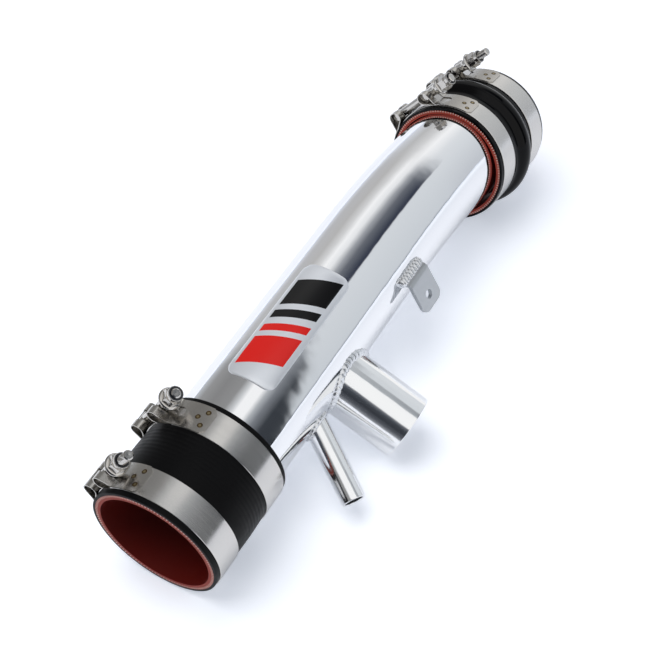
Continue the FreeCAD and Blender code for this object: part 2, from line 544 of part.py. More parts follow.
def build_clamp(prefix, ring, inner, place):
    """One T-bolt clamp: band, bridge plate, T bolt, trunnion, lock nut and its nylon ring."""
    offset = size[prefix + "_offset"]
    height = inner + size["bridge_sheet"] + size["bolt_radius"] + size["bolt_clear"]
    node(clamp_band(prefix, ring, inner, offset, height), prefix + "_band", place)
    off_turn, _ = leave_turn(inner, offset, height)
    clear = inner + size["bridge_sheet"] + size["bridge_gap"]
    span = off_turn - math.degrees(math.acos(inner / clear))
    plate = cut(prefix + "_plate",
                sector(prefix + "_plate_blank", f"{ring} + Sizes.bridge_sheet", "bridge_width",
                       span, f"{2 * span}"),
                disc(prefix + "_plate_bore", ring, "Sizes.band_width",
                     middle(0, 0, 0, size["band_width"])))
    node(plate, prefix + "_bridge", place)

    nut_seat = -offset - size["neck_length"]
    nut_length = size["flange_height"] + size["hex_height"] + size["collar_height"]
    nut_text = "Sizes.flange_height + Sizes.hex_height + Sizes.collar_height"
    head = disc(prefix + "_head", "Sizes.barrel_radius", "Sizes.barrel_length",
                middle(0, offset, height, size["barrel_length"]))
    shank = disc(prefix + "_shank", "Sizes.bolt_radius",
                 f"2 * Sizes.{prefix}_offset + Sizes.neck_length + {nut_text} + Sizes.{prefix}_tail",
                 across(offset, height))
    node(fuse(prefix + "_bolt", head, shank), prefix + "_t_bolt", place)

    barrel = disc(prefix + "_barrel", "Sizes.barrel_radius", "Sizes.barrel_length",
                  middle(0, -offset, height, size["barrel_length"]))
    neck = disc(prefix + "_neck", "Sizes.neck_radius", "Sizes.neck_length", across(-offset, height))
    bore_radius = "Sizes.bolt_radius + Sizes.thread_gap"
    bore = disc(prefix + "_bore", bore_radius, "4 * Sizes.neck_length", across(0, height))
    node(cut(prefix + "_sleeve", fuse(prefix + "_sleeve_blank", barrel, neck), bore), prefix + "_trunnion", place)

    flange = disc(prefix + "_flange", "Sizes.flange_radius", "Sizes.flange_height", across(nut_seat, height))
    hexagon = solid("Prism", prefix + "_hexagon", across(nut_seat - size["flange_height"], height),
                    Circumradius="Sizes.hex_radius", Height="Sizes.hex_height")
    hexagon.Polygon = 6
    collar_seat = nut_seat - size["flange_height"] - size["hex_height"]
    collar = disc(prefix + "_collar", "Sizes.collar_radius", "Sizes.collar_height", across(collar_seat, height))
    nut_end = nut_seat - nut_length
    pocket = disc(prefix + "_pocket", "Sizes.insert_radius", "2 * Sizes.insert_height",
                  across(nut_end + size["insert_height"], height))
    nut_bore = disc(prefix + "_nut_bore", bore_radius, "4 * Sizes.neck_length", across(0, height))
    nut = cut(prefix + "_nut", fuse(prefix + "_nut_blank", flange, hexagon, collar),
              fuse(prefix + "_nut_cuts", pocket, nut_bore))
    node(nut, prefix + "_lock_nut", place)

    nylon = disc(prefix + "_nylon", "Sizes.insert_radius", "Sizes.insert_height",
                 across(nut_end + size["insert_height"], height))
    eye = disc(prefix + "_nylon_eye", bore_radius, "4 * Sizes.neck_length", across(0, height))
    node(cut(prefix + "_nylon_ring", nylon, eye), prefix + "_nut_insert", place)


def build_clamps():
    """Two clamps on each coupler, turned as the photo shows."""
    first = size["band_inset"] + size["band_width"] / 2
    second = size["coupler_length"] - first
    straight = tube_radius + 2 * size["seat_gap"] + size["liner_wall"] + size["cover_wall"]
    hump = tube_radius + size["hump_ease"] + size["seat_gap"] + size["liner_wall"] + size["cover_wall"]
    straight_text = f"({STRAIGHT_RADIUS} + Sizes.seat_gap)"
    hump_text = f"({HUMP_RADIUS} + Sizes.seat_gap)"
    rows = [("near_front", straight_text, straight, Placement(), first),
            ("near_rear", straight_text, straight, Placement(), second),
            ("far_front", hump_text, hump, HUMP_PLACE, first),
            ("far_rear", hump_text, hump, HUMP_PLACE, second)]
    for prefix, ring, inner, base, along in rows:
        turned = Rotation(X_AXIS, -size[prefix + "_turn"])
        build_clamp(prefix, ring, inner, base.multiply(Placement(Vector(along, 0, 0), turned)))


def rest():
    """Turn every piece into the rest pose and stand the part on z = 0, centred in plan."""
    pitch = Placement(Vector(), Rotation(Y_AXIS, -size["rest_pitch"]))
    for item, place in nodes:
        item.Placement = pitch.multiply(place)
    document.recompute()
    box = FreeCAD.BoundBox()
    for item, _ in nodes:
        box.add(item.Shape.optimalBoundingBox(False, False))
    shift = Placement(Vector(-box.Center.x, -box.Center.y, -box.ZMin), Rotation())
    for item, place in nodes:
        item.Placement = shift.multiply(pitch).multiply(place)
    document.recompute()


def export():
    """Check every object, then write one STEP file for each node."""
    for item in document.Objects:
        if "Invalid" in item.State or "Error" in item.State:
            raise RuntimeError(f"{item.Name} failed: {item.State}")
    os.makedirs("parts", exist_ok=True)
    for item, _ in nodes:
        if item.Shape.isNull() or not item.Shape.isValid() or len(item.Shape.Solids) != 1:
            raise RuntimeError(f"{item.Label} is not one valid solid")
        item.Shape.exportStep(f"parts/{item.Label}.step")


build_tube()
build_fitting("PortBody", "large_port", PORT_PLACE, "Sizes.port_od / 2", PORT_BORE, "Sizes.port_reach",
              "0 deg")
build_fitting("NippleBody", "small_port", NIPPLE_PLACE, "Sizes.nipple_od / 2", NIPPLE_BORE, NIPPLE_REACH,
              "Sizes.nipple_tilt * 1 deg")
build_bracket()
build_beads()
build_badge()
build_straight_coupler()
build_hump_coupler()
build_clamps()
rest()
export()
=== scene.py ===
"""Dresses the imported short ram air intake: polished tube, welded fittings, couplers and clamps."""

from __future__ import annotations

import json
import logging
import math
from dataclasses import dataclass, field
from enum import Enum
from functools import cached_property
from typing import Any, Callable, Optional, Sequence, Union

import bmesh
import bpy
import numpy as np
from mathutils import Matrix

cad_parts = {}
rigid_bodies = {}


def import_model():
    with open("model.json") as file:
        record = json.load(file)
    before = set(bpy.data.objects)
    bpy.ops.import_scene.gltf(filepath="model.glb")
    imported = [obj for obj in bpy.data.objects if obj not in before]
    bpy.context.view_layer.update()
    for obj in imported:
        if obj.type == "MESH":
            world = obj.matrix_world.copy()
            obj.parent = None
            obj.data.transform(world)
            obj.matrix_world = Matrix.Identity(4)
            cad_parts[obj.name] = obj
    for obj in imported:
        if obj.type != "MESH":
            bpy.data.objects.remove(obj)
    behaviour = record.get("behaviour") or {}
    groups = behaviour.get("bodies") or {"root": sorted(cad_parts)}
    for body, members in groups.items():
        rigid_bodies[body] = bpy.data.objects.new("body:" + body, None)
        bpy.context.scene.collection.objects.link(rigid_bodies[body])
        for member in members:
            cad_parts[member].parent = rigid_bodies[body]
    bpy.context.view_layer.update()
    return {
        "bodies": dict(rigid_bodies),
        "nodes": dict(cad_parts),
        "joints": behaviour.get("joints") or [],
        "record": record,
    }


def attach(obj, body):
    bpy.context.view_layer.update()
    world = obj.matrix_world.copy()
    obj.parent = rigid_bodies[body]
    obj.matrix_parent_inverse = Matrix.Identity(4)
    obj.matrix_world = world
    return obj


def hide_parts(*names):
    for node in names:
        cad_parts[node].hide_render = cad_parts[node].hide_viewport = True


LOG = logging.getLogger("intake")
BODY = "root"
MM = 0.001
TWO_PI = 2.0 * math.pi
QUARTER = math.pi / 2
SHARP_ANGLE = math.radians(38.0)
# Points of a piece that lie closer than this, in metres, become one
MERGE_DISTANCE = 2e-6
# Radius in millimetres at which a turned profile counts as having reached its axis
ON_AXIS = 0.01

# Settings that several nodes share
TIMES = {"operation": "MULTIPLY"}
SMOOTH = {"interpolation_type": "SMOOTHSTEP"}
COLOURS = {"data_type": "RGBA"}


class Slot(Enum):
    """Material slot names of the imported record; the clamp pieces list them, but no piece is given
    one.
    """

    TUBE = "polished_aluminium"
    WELD = "weld_aluminium"
    BLACK = "black_silicone"
    RED = "red_silicone"
    BAND = "stainless_band"
    HARDWARE = "stainless_hardware"
    BADGE = "badge_resin"


# Frames and meshes


def grid(*parts: Union[float, np.ndarray]) -> np.ndarray:
    """Coordinates broadcast against each other and stacked as the last axis."""
    return np.stack(np.broadcast_arrays(*parts), axis=-1)


def angles(count: int) -> np.ndarray:
    """Evenly spaced angles of a full turn."""
    return np.arange(count) * TWO_PI / count


@dataclass(frozen=True)
class Frame:
    """A right-handed local frame in millimetres, set in the row frame.

    Attributes:
        origin: Place of the local origin in the row frame, in millimetres.
        axes: Local x, y and z directions as the rows of a 3 by 3 array.
    """

    origin: np.ndarray
    axes: np.ndarray

    def row(self, points: np.ndarray) -> np.ndarray:
        """Row-frame millimetres of local points: origin plus the points times the axes."""
        return self.origin + points @ self.axes

    def shifted(self, x: float, y: float = 0.0, z: float = 0.0) -> "Frame":
        """The same frame moved along its own axes."""
        return Frame(self.row(np.array([x, y, z])), self.axes)

    def turned(self, axis: int, degrees: float) -> "Frame":
        """The same frame turned by the right-hand rule about its own axis 0, 1 or 2."""
        turn = np.array(Matrix.Rotation(math.radians(degrees), 3, "XYZ"[axis]))
        return Frame(self.origin, turn.T @ self.axes)


@dataclass
class Patch:
    """A grid of points with the faces and texture places that go with it.

    Attributes:
        points: Array of rows by columns by 3, in local millimetres.
        closed: True where the last column meets the first.
        caps: True where the first and last rows are closed by strips across the section.
        keep: Optional mask of rows by columns of faces to keep.
        uv: Optional texture places in millimetres, rows by columns by 2.
        finish: Which of the piece's finishes the patch takes.
    """

    points: np.ndarray
    closed: bool = True
    caps: bool = False
    keep: Optional[np.ndarray] = None
    uv: Optional[np.ndarray] = None
    finish: int = 0

    def faces(self) -> tuple[np.ndarray, np.ndarray]:
        """Quads of the grid and, for each corner, its texture place.

        Returns:
            Face corners as indices, and texture places by face corner.
        """
        rows, cols = self.points.shape[:2]
        spans = cols if self.closed else cols - 1
        row, col = np.meshgrid(np.arange(rows - 1), np.arange(spans), indexing="ij")
        if self.keep is not None:
            row, col = row[self.keep], col[self.keep]
        row, col = row.ravel(), col.ravel()
        corners = [(row, col), (row, col + 1), (row + 1, col + 1), (row + 1, col)]
        quads = np.stack([r * cols + c % cols for r, c in corners], axis=1)
        table = self.uv if self.uv is not None else self.run()
        last = table.shape[1] - 1
        places = np.stack([table[r, np.minimum(c, last)] for r, c in corners], axis=1)
        if self.caps:
            first = np.arange(cols // 2 - 1)
            strip = np.stack([first, cols - 1 - first, cols - 2 - first, first + 1], axis=1)
            ends = np.concatenate([strip, (rows - 1) * cols + strip[:, ::-1]])
            quads = np.concatenate([quads, ends])
            places = np.concatenate([places, np.zeros((len(ends), 4, 2))])
        return quads, places

    def run(self) -> np.ndarray:
        """Texture places from the lengths run along the columns and rows.

        Returns:
            Places in millimetres, rows by columns by 2.
        """
        ring = self.points
        if self.closed:
            ring = np.concatenate([ring, ring[:, :1]], axis=1)
        across = np.linalg.norm(np.diff(ring, axis=1), axis=2).mean(axis=0)
        along = np.linalg.norm(np.diff(ring, axis=0), axis=2).mean(axis=1)
        u, v = np.append(0.0, np.cumsum(across)), np.append(0.0, np.cumsum(along))
        return grid(u, v[:, None])


def turned(profile: np.ndarray, count: int, finish: int = 0) -> Patch:
    """Surface of revolution on x: (x, r) becomes (x, r cos a, r sin a).

    Args:
        profile: Rows of x and r.
        count: Steps round the axis.
        finish: Finish of the patch.

    Returns:
        The closed patch.
    """
    a = angles(count)
    x, r = profile[:, :1], profile[:, 1:]
    return Patch(grid(x, r * np.cos(a), r * np.sin(a)), finish=finish)


def rounded(corners: Sequence[tuple[float, float, float]], steps: int = 5) -> np.ndarray:
    """Open row of points with its corners rounded by quadratic curves.

    Each inner corner P with cut c becomes (1-k)^2 A + 2k(1-k) P + k^2 B, where A and B lie c before
    and after P on the straight runs.

    Args:
        corners: Rows of two coordinates and the cut at that corner.
        steps: Points on each rounded corner.

    Returns:
        The row of points.
    """
    table = np.array(corners)
    rows = [table[:1, :2]]
    k = np.linspace(0.0, 1.0, steps)[:, None]
    for before, here, after in zip(table[:-2], table[1:-1], table[2:]):
        point, cut = here[:2], here[2]
        back = point + (before[:2] - point) / np.linalg.norm(before[:2] - point) * cut
        front = point + (after[:2] - point) / np.linalg.norm(after[:2] - point) * cut
        rows.append((1 - k) ** 2 * back + 2 * k * (1 - k) * point + k ** 2 * front)
    rows.append(table[-1:, :2])
    return np.concatenate(rows)


def smoothed(path: np.ndarray, passes: int) -> np.ndarray:
    """Row of points eased by weighting each point with its two neighbours, again and again.

    Args:
        path: Rows of coordinates.
        passes: How many times.

    Returns:
        The eased rows.
    """
    eased = path.copy()
    for _ in range(passes):
        eased[1:-1] = 0.25 * eased[:-2] + 0.5 * eased[1:-1] + 0.25 * eased[2:]
    return eased


def even(path: np.ndarray, step: float) -> tuple[np.ndarray, np.ndarray]:
    """Resamples a row of points at even lengths.

    Args:
        path: Rows of coordinates.
        step: Spacing wanted, in millimetres.

    Returns:
        The resampled rows and their lengths run.
    """
    run = np.append(0.0, np.cumsum(np.linalg.norm(np.diff(path, axis=0), axis=1)))
    lengths = np.linspace(0.0, run[-1], max(int(run[-1] / step), 2) + 1)
    return np.stack([np.interp(lengths, run, axis) for axis in path.T], axis=1), lengths


def scale_ridge(phase: np.ndarray) -> np.ndarray:
    """Round ridge of each weld scale: sqrt(1 - (2f - 1)^2) of the part f of its phase."""
    return np.sqrt(1.0 - (2 * (phase % 1.0) - 1) ** 2)


def add_object(name: str, data: bpy.types.ID) -> bpy.types.Object:
    """Makes an object at the origin and links it to the scene.

    Args:
        name: Object name.
        data: Its mesh, light or camera.

    Returns:
        The object.
    """
    item = bpy.data.objects.new(name, data)
    bpy.context.scene.collection.objects.link(item)
    return item


def pose(axes: np.ndarray, place: np.ndarray) -> Matrix:
    """World matrix from its axes and place.

    Args:
        axes: Directions as columns.
        place: Place in metres.

    Returns:
        The matrix.
    """
    table = np.eye(4)
    table[:3, :3], table[:3, 3] = axes, place
    return Matrix(table.tolist())


# Finishes


def linear(code: str) -> tuple[float, float, float, float]:
    """Linear colour of an sRGB hex code.

    Args:
        code: Hash sign and six hex digits.

    Returns:
        Red, green, blue and an alpha of 1.
    """
    parts = np.array([int(code[i:i + 2], 16) / 255.0 for i in (1, 3, 5)])
    flat = np.where(parts <= 0.04045, parts / 12.92, ((parts + 0.055) / 1.055) ** 2.4)
    return (*flat.tolist(), 1.0)


def set_stops(ramp: bpy.types.ColorRamp, stops: Sequence[tuple[float, str]]) -> None:
    """Sets a colour ramp's stops.

    Args:
        ramp: The ramp.
        stops: Places and hex colours.
    """
    while len(ramp.elements) < len(stops):
        ramp.elements.new(0.5)
    for element, (place, code) in zip(ramp.elements, stops):
        element.position, element.color = place, linear(code)


def add_node(tree: bpy.types.NodeTree, kind: str, settings: Optional[dict[str, Any]] = None,
             **sockets: Any) -> bpy.types.Node:
    """Adds one node, sets its properties, and fills or links its input sockets.

    Args:
        tree: Node tree.
        kind: Node type.
        settings: Node properties by name; stops sets the stops of a colour ramp.
        **sockets: Values, output sockets, or nodes for their first output, by input name with
            spaces as underscores, or by index as i0, i1 and so on.

    Returns:
        The node.
    """
    node = tree.nodes.new(kind)
    for key, value in (settings or {}).items():
        if key == "stops":
            set_stops(node.color_ramp, value)
        else:
            setattr(node, key, value)
    for key, value in sockets.items():
        by_index = key[0] == "i" and key[1:].isdigit()
        target = node.inputs[int(key[1:]) if by_index else key.replace("_", " ")]
        source = value.outputs[0] if isinstance(value, bpy.types.Node) else value
        if isinstance(source, bpy.types.NodeSocket):
            tree.links.new(source, target)
        else:
            target.default_value = source
    return node


def bare_tree(owner: Union[bpy.types.Material, bpy.types.World]) -> bpy.types.NodeTree:
    """Turns on a material's or world's nodes and empties them.

    Args:
        owner: Material or world.

    Returns:
        Its node tree.
    """
    owner.use_nodes = True
    owner.node_tree.nodes.clear()
    return owner.node_tree


Detail = Callable[[bpy.types.NodeTree, bpy.types.Node, "Finish"], None]


@dataclass(frozen=True)
class Finish:
    """One material: its plain sockets, then what its own surface adds.

    Attributes:
        name: Common name of the material and how it was finished.
        colour: sRGB hex of the base.
        metallic: 1 for a metal.
        roughness: Middle roughness.
        details: Functions that add the surface's patterns to the tree.
        sockets: Further constant sockets of the shader.
    """

    name: str
    colour: str
    metallic: float
    roughness: float
    details: Sequence[Detail] = ()
    sockets: dict[str, float] = field(default_factory=dict)

    @cached_property
    def material(self) -> bpy.types.Material:
        """Node material with one principled shader, built when it is first asked for.

        Returns:
            The material.
        """
        made = bpy.data.materials.new(self.name)
        made.use_nodes = True
        made.diffuse_color = linear(self.colour)
        shader = made.node_tree.nodes["Principled BSDF"]
        plain = {"Base Color": linear(self.colour), "Metallic": self.metallic,
                 "Roughness": self.roughness, **self.sockets}
        for key, value in plain.items():
            shader.inputs[key].default_value = value
        for detail in self.details:
            detail(made.node_tree, shader, self)
        return made


def vary_roughness(tree: bpy.types.NodeTree, shader: bpy.types.Node, source: bpy.types.Node,
                   finish: Finish, swing: tuple[float, float]) -> None:
    """Lets a pattern swing the roughness.

    Args:
        tree: Node tree.
        shader: Its principled shader.
        source: Node of the pattern.
        finish: Finish that owns the tree.
        swing: Lowest and highest roughness, against the finish's own.
    """
    low, high = (finish.roughness * share for share in swing)
    span = add_node(tree, "ShaderNodeMapRange", None, Value=source, To_Min=low, To_Max=high)
    tree.links.new(span.outputs["Result"], shader.inputs["Roughness"])


def add_bump(tree: bpy.types.NodeTree, shader: bpy.types.Node, source: bpy.types.Node,
             relief: tuple[float, float]) -> None:
    """Raises the surface by a pattern.

    Args:
        tree: Node tree.
        shader: Its principled shader.
        source: Node of the pattern.
        relief: Strength, and depth in millimetres.
    """
    strength, depth = relief
    bump = add_node(tree, "ShaderNodeBump", None, Strength=strength, Distance=depth * MM,
                    Height=source)
    tree.links.new(bump.outputs["Normal"], shader.inputs["Normal"])


@dataclass(frozen=True)
class Mottle:
    """Cloudy unevenness of a surface, at its real width.

    Attributes:
        width: Width of its patches in millimetres.
        detail: Octaves of finer patches.
        swing: Lowest and highest roughness against the finish's own, if it varies.
        relief: Strength and depth of its bump, if it has one.
    """

    width: float
    detail: float
    swing: Optional[tuple[float, float]] = None
    relief: Optional[tuple[float, float]] = None

    def __call__(self, tree: bpy.types.NodeTree, shader: bpy.types.Node, finish: Finish) -> None:
        """Adds the pattern on Object coordinates, which are in metres.

        Args:
            tree: Node tree.
            shader: Its principled shader.
            finish: Finish that owns the tree.
        """
        place = add_node(tree, "ShaderNodeTexCoord").outputs["Object"]
        noise = add_node(tree, "ShaderNodeTexNoise", None, Vector=place,
                         Scale=1.0 / (self.width * MM), Detail=self.detail)
        if self.swing:
            vary_roughness(tree, shader, noise, finish, self.swing)
        if self.relief:
            add_bump(tree, shader, noise, self.relief)


def brushed_along(tree: bpy.types.NodeTree, shader: bpy.types.Node, finish: Finish) -> None:
    """Rolled strip: fine lines that run along the band, drawn 0.5 mm wide so that they show.

    Args:
        tree: Node tree.
        shader: Its principled shader.
        finish: Finish that owns the tree.
    """
    place = add_node(tree, "ShaderNodeTexCoord").outputs["UV"]
    stretch = add_node(tree, "ShaderNodeMapping", None, Vector=place, Scale=(2.0, 0.02, 1.0))
    lines = add_node(tree, "ShaderNodeTexNoise", None, Vector=stretch, Scale=1.0, Detail=3.0)
    vary_roughness(tree, shader, lines, finish, (0.7, 1.4))
    add_bump(tree, shader, lines, (0.22, 0.06))


def ply_flecks(tree: bpy.types.NodeTree, shader: bpy.types.Node, finish: Finish) -> None:
    """Cut end of the hose: pale cloth threads every 2 mm in the outer half of the red wall.

    Args:
        tree: Node tree.
        shader: Its principled shader.
        finish: Finish that owns the tree.
    """
    pitch, cloth = 2.0, "#EBC8BA"
    place = add_node(tree, "ShaderNodeTexCoord").outputs["UV"]
    parts = add_node(tree, "ShaderNodeSeparateXYZ", None, Vector=place)
    spin = add_node(tree, "ShaderNodeMath", TIMES, i0=parts.outputs["X"], i1=TWO_PI / pitch)
    wave = add_node(tree, "ShaderNodeMath", {"operation": "SINE"}, i0=spin)
    thread = add_node(tree, "ShaderNodeMapRange", None, Value=wave, From_Min=0.15, From_Max=0.45)
    depth = add_node(tree, "ShaderNodeMapRange", SMOOTH, Value=parts.outputs["Y"], From_Min=1.3,
                     From_Max=1.8)
    noise = add_node(tree, "ShaderNodeTexNoise", None, Vector=place, Scale=0.9, Detail=2.0)
    ragged = add_node(tree, "ShaderNodeMapRange", None, Value=noise, From_Min=0.3, From_Max=0.6,
                      To_Min=0.55, To_Max=1.0)
    fleck = add_node(tree, "ShaderNodeMath", TIMES, i0=thread, i1=depth)
    broken = add_node(tree, "ShaderNodeMath", TIMES, i0=fleck, i1=ragged)
    mix = add_node(tree, "ShaderNodeMix", COLOURS, i0=broken, i6=linear(finish.colour),
                   i7=linear(cloth))
    tree.links.new(mix.outputs[2], shader.inputs["Base Color"])


def badge_stripes(tree: bpy.types.NodeTree, shader: bpy.types.Node, finish: Finish) -> None:
    """Plain slanted stripes printed on silver film under the clear dome.

    Args:
        tree: Node tree.
        shader: Its principled shader.
        finish: Finish that owns the tree.
    """
    slope, reach, print_half = 0.45, 50.0, 13.0
    red, black, bare = "#D21A12", "#050506", ""
    edges = (0.0, 0.13, 0.36, 0.41, 0.47, 0.53, 0.6, 0.65, 0.88)
    inks = (bare, red, bare, red, bare, black, bare, black, bare)
    prints = [(edge, ink or finish.colour) for edge, ink in zip(edges, inks)]
    films = [(edge, "#000000" if ink else "#FFFFFF") for edge, ink in zip(edges, inks)]
    place = add_node(tree, "ShaderNodeTexCoord").outputs["UV"]
    parts = add_node(tree, "ShaderNodeSeparateXYZ", None, Vector=place)
    slant = add_node(tree, "ShaderNodeMath", {"operation": "MULTIPLY_ADD"}, i0=parts.outputs["Y"],
                     i1=slope, i2=parts.outputs["X"])
    share = add_node(tree, "ShaderNodeMapRange", None, Value=slant, From_Min=-reach, From_Max=reach)
    stripes = add_node(tree, "ShaderNodeValToRGB", {"stops": prints}, Fac=share)
    film = add_node(tree, "ShaderNodeValToRGB", {"stops": films}, Fac=share)
    stripes.color_ramp.interpolation = film.color_ramp.interpolation = "CONSTANT"
    side = add_node(tree, "ShaderNodeMath", {"operation": "ABSOLUTE"}, i0=parts.outputs["Y"])
    inside = add_node(tree, "ShaderNodeMath", {"operation": "LESS_THAN"}, i0=side, i1=print_half)
    ink_on = add_node(tree, "ShaderNodeMix", COLOURS, i0=inside, i6=linear(finish.colour),
                      i7=stripes)
    tree.links.new(ink_on.outputs[2], shader.inputs["Base Color"])
    shown = add_node(tree, "ShaderNodeMix", COLOURS, i0=inside, i6=linear("#FFFFFF"), i7=film)
    shine = add_node(tree, "ShaderNodeMath", TIMES, i0=shown.outputs[2], i1=finish.metallic)
    tree.links.new(shine.outputs["Value"], shader.inputs["Metallic"])


def heat_rings(tree: bpy.types.NodeTree, shader: bpy.types.Node, finish: Finish) -> None:
    """Spot weld: straw and brown oxide that darkens to the rim.

    Args:
        tree: Node tree.
        shader: Its principled shader.
        finish: Finish that owns the tree; not used.
    """
    rings = [(0.0, "#B0A488"), (0.45, "#928360"), (0.7, "#4A3820"), (0.88, "#3A2C1A"),
             (1.0, "#8C8270")]
    place = add_node(tree, "ShaderNodeTexCoord").outputs["UV"]
    parts = add_node(tree, "ShaderNodeSeparateXYZ", None, Vector=place)
    tint = add_node(tree, "ShaderNodeValToRGB", {"stops": rings}, Fac=parts.outputs["Y"])
    tree.links.new(tint.outputs["Color"], shader.inputs["Base Color"])


# Hand buffing leaves broad hazy patches, and a drawn tube is faintly wavy
BUFFING = (Mottle(22.0, 4.0, swing=(0.6, 1.6)), Mottle(26.0, 2.0, relief=(0.7, 0.3)))
# A cooled weld pool and a rolled plate have a fine cast-like grain
CAST_GRAIN = (Mottle(1.0, 2.0, (0.7, 1.5), (0.12, 0.1)),)
# A cold-formed fastener is smooth, with faint hazy patches
COLD_FORMED = (Mottle(3.0, 2.0, (0.7, 1.4)),)
# Cured rubber has a slightly mottled gloss and a soft unevenness
CURED_SKIN = (Mottle(6.0, 4.0, (0.75, 1.35), (0.08, 0.2)),)

# Near mirror: the studio's cards show as long soft-edged streaks
BUFFED_ALUMINIUM = Finish("buffed_aluminium", "#F0F1F3", 1.0, 0.06, BUFFING)
# Same metal, less buffed: the streaks have wider, softer edges
SATIN_ALUMINIUM = Finish("satin_aluminium", "#F2F3F4", 1.0, 0.11, BUFFING)
# Plate as it left the mill: grey, with no clear reflections
MILL_ALUMINIUM = Finish("mill_finish_aluminium", "#BFC2C5", 1.0, 0.34, CAST_GRAIN)
# TIG bead: pale, and each scale catches a small glint
WELD_ALUMINIUM = Finish("tig_welded_aluminium", "#DDDFE2", 1.0, 0.24, CAST_GRAIN)
# Rolled strip: lines along the band draw its highlights out across it
BAND_STAINLESS = Finish("rolled_stainless_strip", "#CFCDCA", 1.0, 0.2, (brushed_along,),
                        {"Anisotropic": 0.4})
# The same strip where it is folded back, painted a little darker than the band: painted shade for
# the dimmer reflection on the folded ends
SHADED_STRAP_STAINLESS = Finish("folded_strap_painted_shade", "#BFBCB7", 1.0, 0.2, (brushed_along,),
                         {"Anisotropic": 0.4})
# Bolts and nuts: bright, warm grey, with slightly soft reflections
BRIGHT_STAINLESS = Finish("bright_stainless", "#C6C3BF", 1.0, 0.14, COLD_FORMED)
# Cloth-wrapped silicone: deep black with a low, broad sheen
BLACK_SILICONE = Finish("cured_black_silicone", "#040405", 0.0, 0.42, CURED_SKIN,
                        {"IOR": 1.42, "Specular IOR Level": 0.14})
# Film-wrapped silicone: the same black with narrow, wet-looking highlights
GLOSS_SILICONE = Finish("gloss_black_silicone", "#040405", 0.0, 0.11, CURED_SKIN,
                        {"IOR": 1.42, "Specular IOR Level": 0.18})
# Liner: dark red and matt inside the bore, darker than the cut end of the same silicone: partly its
# own colour, partly painted shade of the bore
RED_SILICONE = Finish("red_silicone", "#5E1109", 0.0, 0.5, CURED_SKIN,
                      {"IOR": 1.42, "Specular IOR Level": 0.3})
# Knife-cut hose end: chalky red with the pale ends of the cloth threads
CUT_SILICONE = Finish("cut_red_silicone", "#9A3322", 0.0, 0.6, (ply_flecks,), {"IOR": 1.42})
# Moulded lock ring: nearly black, with a waxy half gloss
MOULDED_NYLON = Finish("moulded_nylon", "#23252A", 0.0, 0.45, CURED_SKIN, {"IOR": 1.53})
# Clear resin domed over silver film: a thin sharp highlight over flat print
DOMED_BADGE = Finish("domed_resin_badge", "#D8DBDF", 0.5, 0.3, (badge_stripes,),
                     {"Coat Weight": 0.3, "Coat Roughness": 0.03, "Specular IOR Level": 0.15})
# Spot weld: a small straw and brown ring on the bright strap
SPOT_WELD = Finish("heat_tinted_stainless", "#8C764A", 1.0, 0.3, (heat_rings,))


# Pieces


def make_piece(name: str, frame: Frame, patches: Sequence[Patch], finishes: Sequence[Finish],
               stands_for: Sequence[str]) -> None:
    """Args:
        name: Piece name.
        frame: Local frame of the patches.
        patches: Grids that make up the piece.
        finishes: Finishes that the patches choose from.
        stands_for: CAD nodes that the piece replaces.
    """
    points, quads, places, marks, start = [], [], [], [], 0
    for patch in patches:
        faces, uv = patch.faces()
        points.append(frame.row(patch.points.reshape(-1, 3)) * MM)
        quads.append(faces + start)
        places.append(uv.reshape(-1, 2))
        marks.append(np.full(len(faces), patch.finish))
        start += len(points[-1])
    mesh = bpy.data.meshes.new(name)
    mesh.from_pydata(np.concatenate(points).tolist(), [], np.concatenate(quads).tolist())
    layer = mesh.uv_layers.new(name="surface_mm")
    layer.uv.foreach_set("vector", np.concatenate(places).astype(np.float32).ravel())
    for finish in finishes:
        mesh.materials.append(finish.material)
    mesh.polygons.foreach_set("material_index", np.concatenate(marks).astype(np.int32))
    work = bmesh.new()
    work.from_mesh(mesh)
    bmesh.ops.remove_doubles(work, verts=work.verts, dist=MERGE_DISTANCE)
    loose = [vertex for vertex in work.verts if not vertex.link_faces]
    bmesh.ops.delete(work, geom=loose, context="VERTS")
    bmesh.ops.recalc_face_normals(work, faces=work.faces)
    work.to_mesh(mesh)
    work.free()
    mesh.polygons.foreach_set("use_smooth", np.ones(len(mesh.polygons), dtype=bool))
    mesh.set_sharp_from_angle(angle=SHARP_ANGLE)
    piece = add_object(name, mesh)
    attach(piece, BODY)
    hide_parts(*stands_for)
    LOG.info("%s: %d faces", name, len(mesh.polygons))


# Tube and its welded fittings


